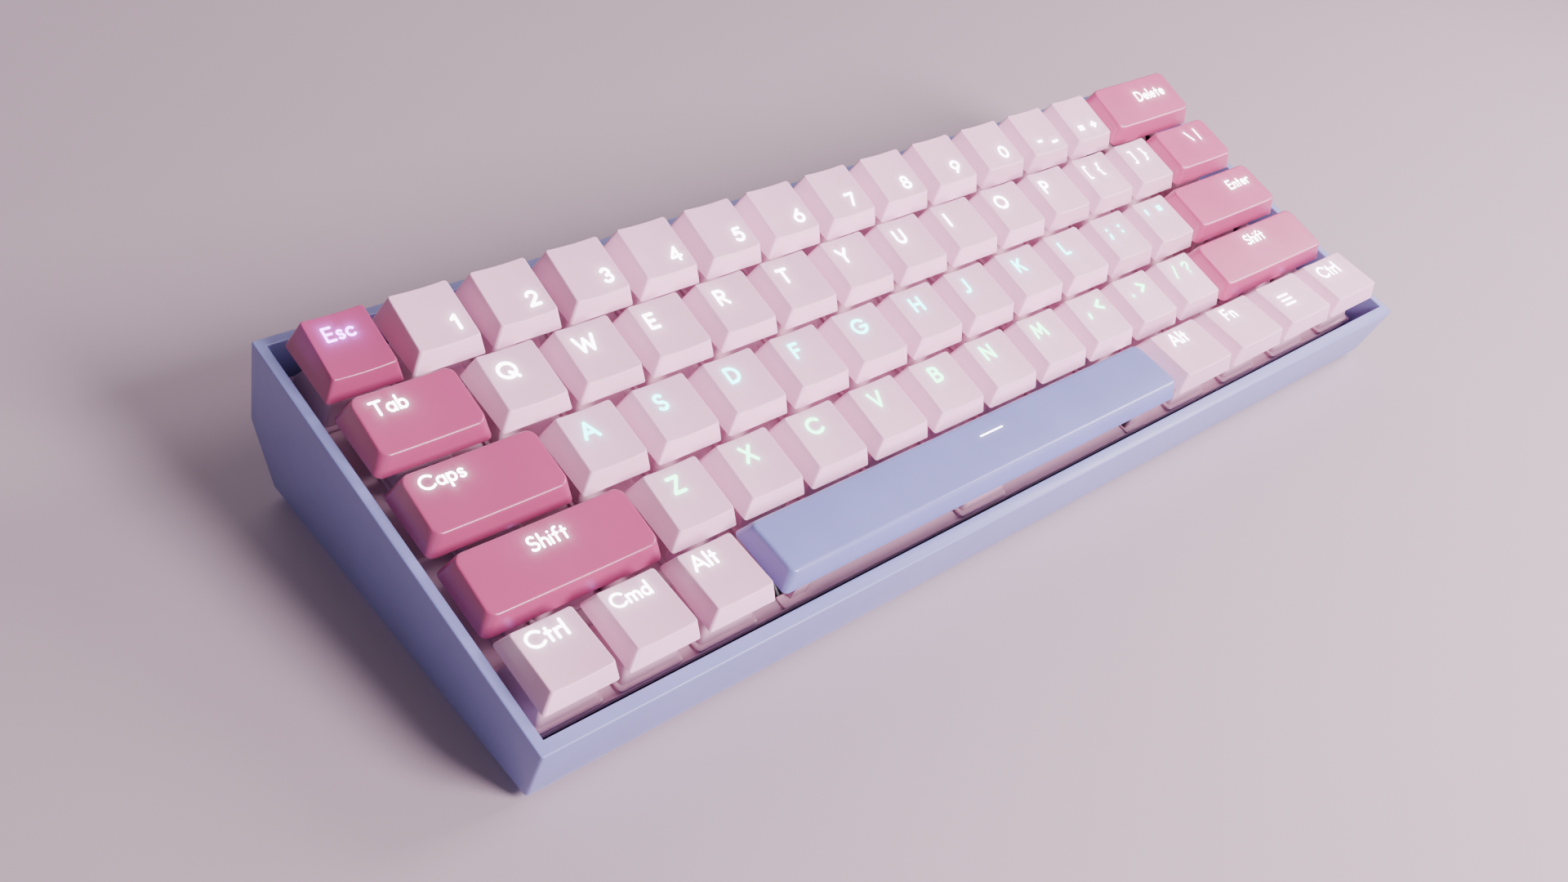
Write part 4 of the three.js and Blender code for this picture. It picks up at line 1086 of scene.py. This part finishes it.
def eased(node, name, slot, width_of, segments):
    """A CAD node with flat faces rejoined and edges rounded by width_of(start, end), in mm."""
    bm = bmesh.new()
    bm.from_mesh(frame["nodes"][node].data)
    bmesh.ops.remove_doubles(bm, verts=bm.verts, dist=2e-6)
    bmesh.ops.dissolve_limit(bm, angle_limit=math.radians(0.6), verts=bm.verts, edges=bm.edges)
    bm.normal_update()
    layers = bm.edges.layers.float
    weight = layers.get("bevel_weight_edge") or layers.new("bevel_weight_edge")
    for edge in bm.edges:
        if len(edge.link_faces) != 2 or edge.calc_face_angle(0.0) < math.radians(14):
            continue
        start, end = to_deck([vert.co for vert in edge.verts])
        edge[weight] = min(1.0, width_of(start, end) / WIDEST_EASE)
    mesh = bpy.data.meshes.new(name)
    bm.to_mesh(mesh)
    bm.free()
    mesh.materials.clear()
    mesh.materials.append(MATS[slot])
    obj = add_object(name, mesh)
    bevel = obj.modifiers.new("ease", "BEVEL")
    bevel.width, bevel.segments = WIDEST_EASE * 1e-3, segments
    bevel.limit_method = "WEIGHT"
    bevel.use_clamp_overlap = False
    bevel.harden_normals = False
    deps = bpy.context.evaluated_depsgraph_get()
    done = bpy.data.meshes.new_from_object(obj.evaluated_get(deps))
    obj.modifiers.clear()
    obj.data = done
    shade(done, 30.0)
    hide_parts(node)
    attach(obj)
    return obj


# the tray's outside at the rim, on the deck
TRAY_LEFT, TRAY_RIGHT = -3.0, 15 * PITCH + 3.0
TRAY_FRONT, TRAY_REAR = -5.1, 99.5


def tray_ease(start, end):
    """Rounding of a tray edge; heights are world metres."""
    mid = (start + end) / 2
    x, y = mid[:2]
    if abs(start[2]) < 0.05 and abs(end[2]) < 0.05:  # along the rim
        outer = (x < TRAY_LEFT + 0.2 or x > TRAY_RIGHT - 0.2
                 or y < TRAY_FRONT + 0.2 or y > TRAY_REAR - 0.2)
        return 0.42 if outer else 0.30
    inner = -0.7 < x < 286.5 and -2.2 < y < 97.4
    length = np.linalg.norm(start - end)
    height = to_world(mid)[0][2]
    if height < 0.0026 and not inner and length > 60:
        return 0.9
    if abs(x - USB_X) < 7 and y > 96:  # round the socket's opening
        return 0.22 if height > 0.006 else 0.9
    if inner:
        return 0.0
    if length > 200 and y > 80:
        return 2.4
    return 0.15 if height < 0.0027 else 0.75


def foam_sheet(plate):
    """Foam between plate and board, cut like the plate."""
    gap, thick = 0.1, 0.6  # gap below the plate
    mesh = plate.data.copy()
    flat = np.empty(len(mesh.vertices) * 3)
    mesh.vertices.foreach_get("co", flat)
    points = to_deck(flat)
    depth = (PLATE_TOP - points[:, 2]) / PLATE_THICK
    points[:, 2] = PLATE_TOP - (PLATE_THICK + gap) - thick * depth
    mesh.vertices.foreach_set("co", to_world(points).ravel())
    mesh.materials.clear()
    mesh.materials.append(MATS["foam"])
    attach(add_object("plate_foam", mesh))


eased("case_tray", "tray_case", "case", tray_ease, segments=4)
plate = eased("switch_plate", "plate_sheet", "plate", lambda start, end: 0.12, segments=1)
eased("circuit_board", "board_sheet", "board", lambda start, end: 0.08, segments=1)
for place in ("front_left", "front_right", "rear_left", "rear_right"):
    eased("foot_" + place, "pad_" + place, "rubber", lambda start, end: 0.45, segments=3)
foam_sheet(plate)

# -------------------------------------------------------------- electronics
# the socket's mouth faces the rear, centred here
MOUTH = (USB_X, 5 * PITCH + 1.0, BOARD_LOW - 1.65)
# (half x, half z, corner radius, y from the mouth): outside to the mouth, then back inside
SOCKET_SHELL = [(4.4, 1.55, 1.3, -8.2), (4.5, 1.62, 1.4, -8.0), (4.5, 1.62, 1.4, -0.12),
                (4.42, 1.54, 1.35, 0), (4.22, 1.34, 1.2, 0), (4.15, 1.28, 1.2, -0.15),
                (4.15, 1.28, 1.2, -6.4)]
SOCKET_TONGUE = [(3.2, 0.35, 0.15, -6.5), (3.2, 0.35, 0.15, -1.35), (3.1, 0.25, 0.12, -1.2)]
CHIP_AT = (119.1, 66.7, 0)
SCREWS_AT = ((25.2, 66.7), (259.5, 66.7), (130.5, 48.0), (190.2, 10.0))


def usb_socket():
    shell = Shape()
    shell.add(*loft(SOCKET_SHELL, steps=5, along_y=True), at=MOUTH)
    attach(shell.object("socket_shell", MATS["shell"]), replaces="usb_port")
    tongue = Shape()
    tongue.add(*loft(SOCKET_TONGUE, steps=2, along_y=True), at=MOUTH)
    attach(tongue.object("socket_tongue", MATS["chip"]))


def controller():
    chip = Shape()
    chip.add(*block(5.0, 5.0, BOARD_LOW - 1.4, BOARD_LOW - 0.15, radius=0.2), at=CHIP_AT)
    attach(chip.object("controller_body", MATS["chip"]), replaces="controller_chip")


def pins_and_diodes():
    """Twelve pins on each side of the chip, and one diode by each switch."""
    parts = Shape()
    pin_out, pin_long, pin_thin = 5.4, 0.55, 0.13
    for i in range(12):
        along = -3.85 + 0.7 * i
        for side_x, side_y in ((1, 0), (-1, 0), (0, 1), (0, -1)):
            if side_x:
                half_x, half_y, x, y = pin_long, pin_thin, side_x * pin_out, along
            else:
                half_x, half_y, x, y = pin_thin, pin_long, along, side_y * pin_out
            parts.add(*block(half_x, half_y, BOARD_LOW - 0.5, BOARD_LOW, radius=0.05, ease=0.04,
                             x=x, y=y, steps=1), at=CHIP_AT)
    for key in KEYS:
        parts.add(*block(0.85, 0.6, BOARD_LOW - 0.9, BOARD_LOW, radius=0.1, ease=0.08,
                         x=key.x - 5.2, y=key.y - 6.6, steps=1))
    attach(parts.object("board_pins_and_diodes", MATS["wire"]))


def tray_screws():
    """Screws with tall heads that reach up from the board to the plate."""
    seat, top = BOARD_TOP + 0.02, PLATE_TOP - 0.1
    profile = [(0, seat - 4.5), (0.4, seat - 4.4), (0.95, seat - 3.6), (0.95, seat), (1.55, seat),
               (1.6, seat + 0.2), (1.6, top - 0.25), (1.4, top), (0.9, top), (0.82, top - 0.1),
               (0.8, top - 1.0), (0, top - 1.2)]
    screws = Shape()
    for x, y in SCREWS_AT:
        screws.add(*lathe(profile), at=(x, y, 0))
    attach(screws.object("tray_screws", MATS["screw"], 30))


usb_socket()
controller()
pins_and_diodes()
tray_screws()


# ------------------------------------------------------ floor, light, view
def floor_material():
    """Matt paint, clear to shadow rays and from below, so the tray's underside shows."""
    m = Nodes("floor_paint")
    cloud = m.noise(scale=8.0)
    m.set(Base_Color=m.mix(cloud, (0.44, 0.355, 0.40), (0.47, 0.385, 0.43)), Roughness=0.7)
    shadow_ray = m.add("ShaderNodeLightPath").outputs["Is Shadow Ray"]
    below = m.add("ShaderNodeNewGeometry").outputs["Backfacing"]
    clear = m.add("ShaderNodeBsdfTransparent")
    blend = m.add("ShaderNodeMixShader")
    m.put(blend.inputs[0], m.math("MAXIMUM", shadow_ray, below))
    m.put(blend.inputs[1], m.bsdf.outputs[0])
    m.put(blend.inputs[2], clear.outputs[0])
    m.put(m.out.inputs["Surface"], blend.outputs[0])
    return m.mat


def add_floor(half=6.0):
    mesh = bpy.data.meshes.new("floor")
    mesh.from_pydata([(-half, -half, 0), (half, -half, 0), (half, half, 0), (-half, half, 0)],
                     [], [(0, 1, 2, 3)])
    floor = add_object("floor", mesh)
    mesh.materials.append(floor_material())


def add_world():
    world = bpy.data.worlds.new("studio")
    bpy.context.scene.world = world
    world.use_nodes = True
    background = world.node_tree.nodes["Background"]
    background.inputs["Color"].default_value = (0.90, 0.76, 0.92, 1)
    background.inputs["Strength"].default_value = 0.27


def area(name, place, aim, size, power, colour):
    light = bpy.data.lights.new(name, "AREA")
    light.shape, light.size, light.size_y = "RECTANGLE", size[0], size[1]
    light.energy, light.color = power, colour
    obj = add_object(name, light)
    obj.location = place
    obj.rotation_euler = (Vector(aim) - Vector(place)).to_track_quat("-Z", "Y").to_euler()
    obj.visible_camera = False


# Soft fills that only the caps take, as (light on the left flank, light on the front).
FILL_FIRST = (0.0, 4.0)
FILL_WIDE = (4.2, 0.0)
FILL_BY_X = ((60, (2.1, 4.3)), (120, (3.6, 5.75)), (200, (4.9, 5.9)), (400, (4.45, 2.05)))
NO_FILL = (0.0, 0.0)
FIRST_KEYS = [row[0][0] for row in ROWS] + ["alt_left", "space", "1", "2", "3"]


def fill_of(key):
    wide = key.name in WIDE | {"esc", "space"}
    if key.name in FIRST_KEYS:
        return NO_FILL if wide else FILL_FIRST
    if wide:
        return FILL_WIDE
    return next(fill for limit, fill in FILL_BY_X if key.x < limit)


def add_cap_fills():
    """One sun for each kind of fill, linked to the caps that take it."""
    groups = {}
    for key in KEYS:
        groups.setdefault(fill_of(key), []).append(key)
    for i, ((left, front), keys) in enumerate(groups.items()):
        if (left, front) == NO_FILL:
            continue
        # the light travels right, rearwards and a little upwards, so the tops stay clear of it
        push = Vector((left, front, 0.25 * left + 0.35 * front))
        name = "fill_%d" % i
        sun = bpy.data.lights.new(name, "SUN")
        sun.energy, sun.angle, sun.color = push.length, 0.35, (1.0, 0.88, 1.0)
        sun.use_shadow = False
        obj = add_object(name, sun)
        obj.rotation_euler = push.to_track_quat("-Z", "Y").to_euler()
        receivers = bpy.data.collections.new(name)
        for key in keys:
            receivers.objects.link(CAPS[key.name])
        obj.light_linking.receiver_collection = receivers


# the view in deck millimetres: the camera's place, and its right, down and forward directions
VIEW_PLACE = (-117.171, -89.37, 238.191)
VIEW_AXES = np.array([[0.73405, -0.602592, 0.313135],
                      [-0.31351, -0.709732, -0.630867],
                      [0.602397, 0.364917, -0.709897]])


def add_camera():
    tilt = np.array([[1, 0, 0], [0, COS, -SIN], [0, SIN, COS]])
    right, down, ahead = (tilt @ axis for axis in VIEW_AXES)
    camera = bpy.data.cameras.new("view")
    camera.sensor_width = 36.0
    camera.lens = 35.9480625
    camera.clip_start = 0.01
    obj = add_object("view", camera)
    place = to_world(VIEW_PLACE)[0]
    obj.matrix_world = Matrix([[right[i], -down[i], -ahead[i], place[i]] for i in range(3)]
                              + [[0, 0, 0, 1]])
    bpy.context.scene.camera = obj


add_floor()
add_world()
area("key", place=(0.14, -0.62, 0.47), aim=(0.02, 0.0, 0.02), size=(0.30, 0.30), power=15.5,
     colour=(1.0, 0.86, 0.95))
area("right", place=(0.55, -0.16, 0.42), aim=(0.08, 0.0, 0.02), size=(0.25, 0.25), power=4.6,
     colour=(1.0, 0.86, 0.93))
area("back", place=(0.30, 0.95, 0.6), aim=(0.0, 0.0, 0.02), size=(1.0, 0.5), power=4.0,
     colour=(1.0, 0.86, 0.92))
area("under", place=(0.0, 0.0, -0.20), aim=(0.0, 0.0, 0.0), size=(0.26, 0.02), power=0.25,
     colour=(1.0, 0.88, 0.95))
add_cap_fills()
add_camera()
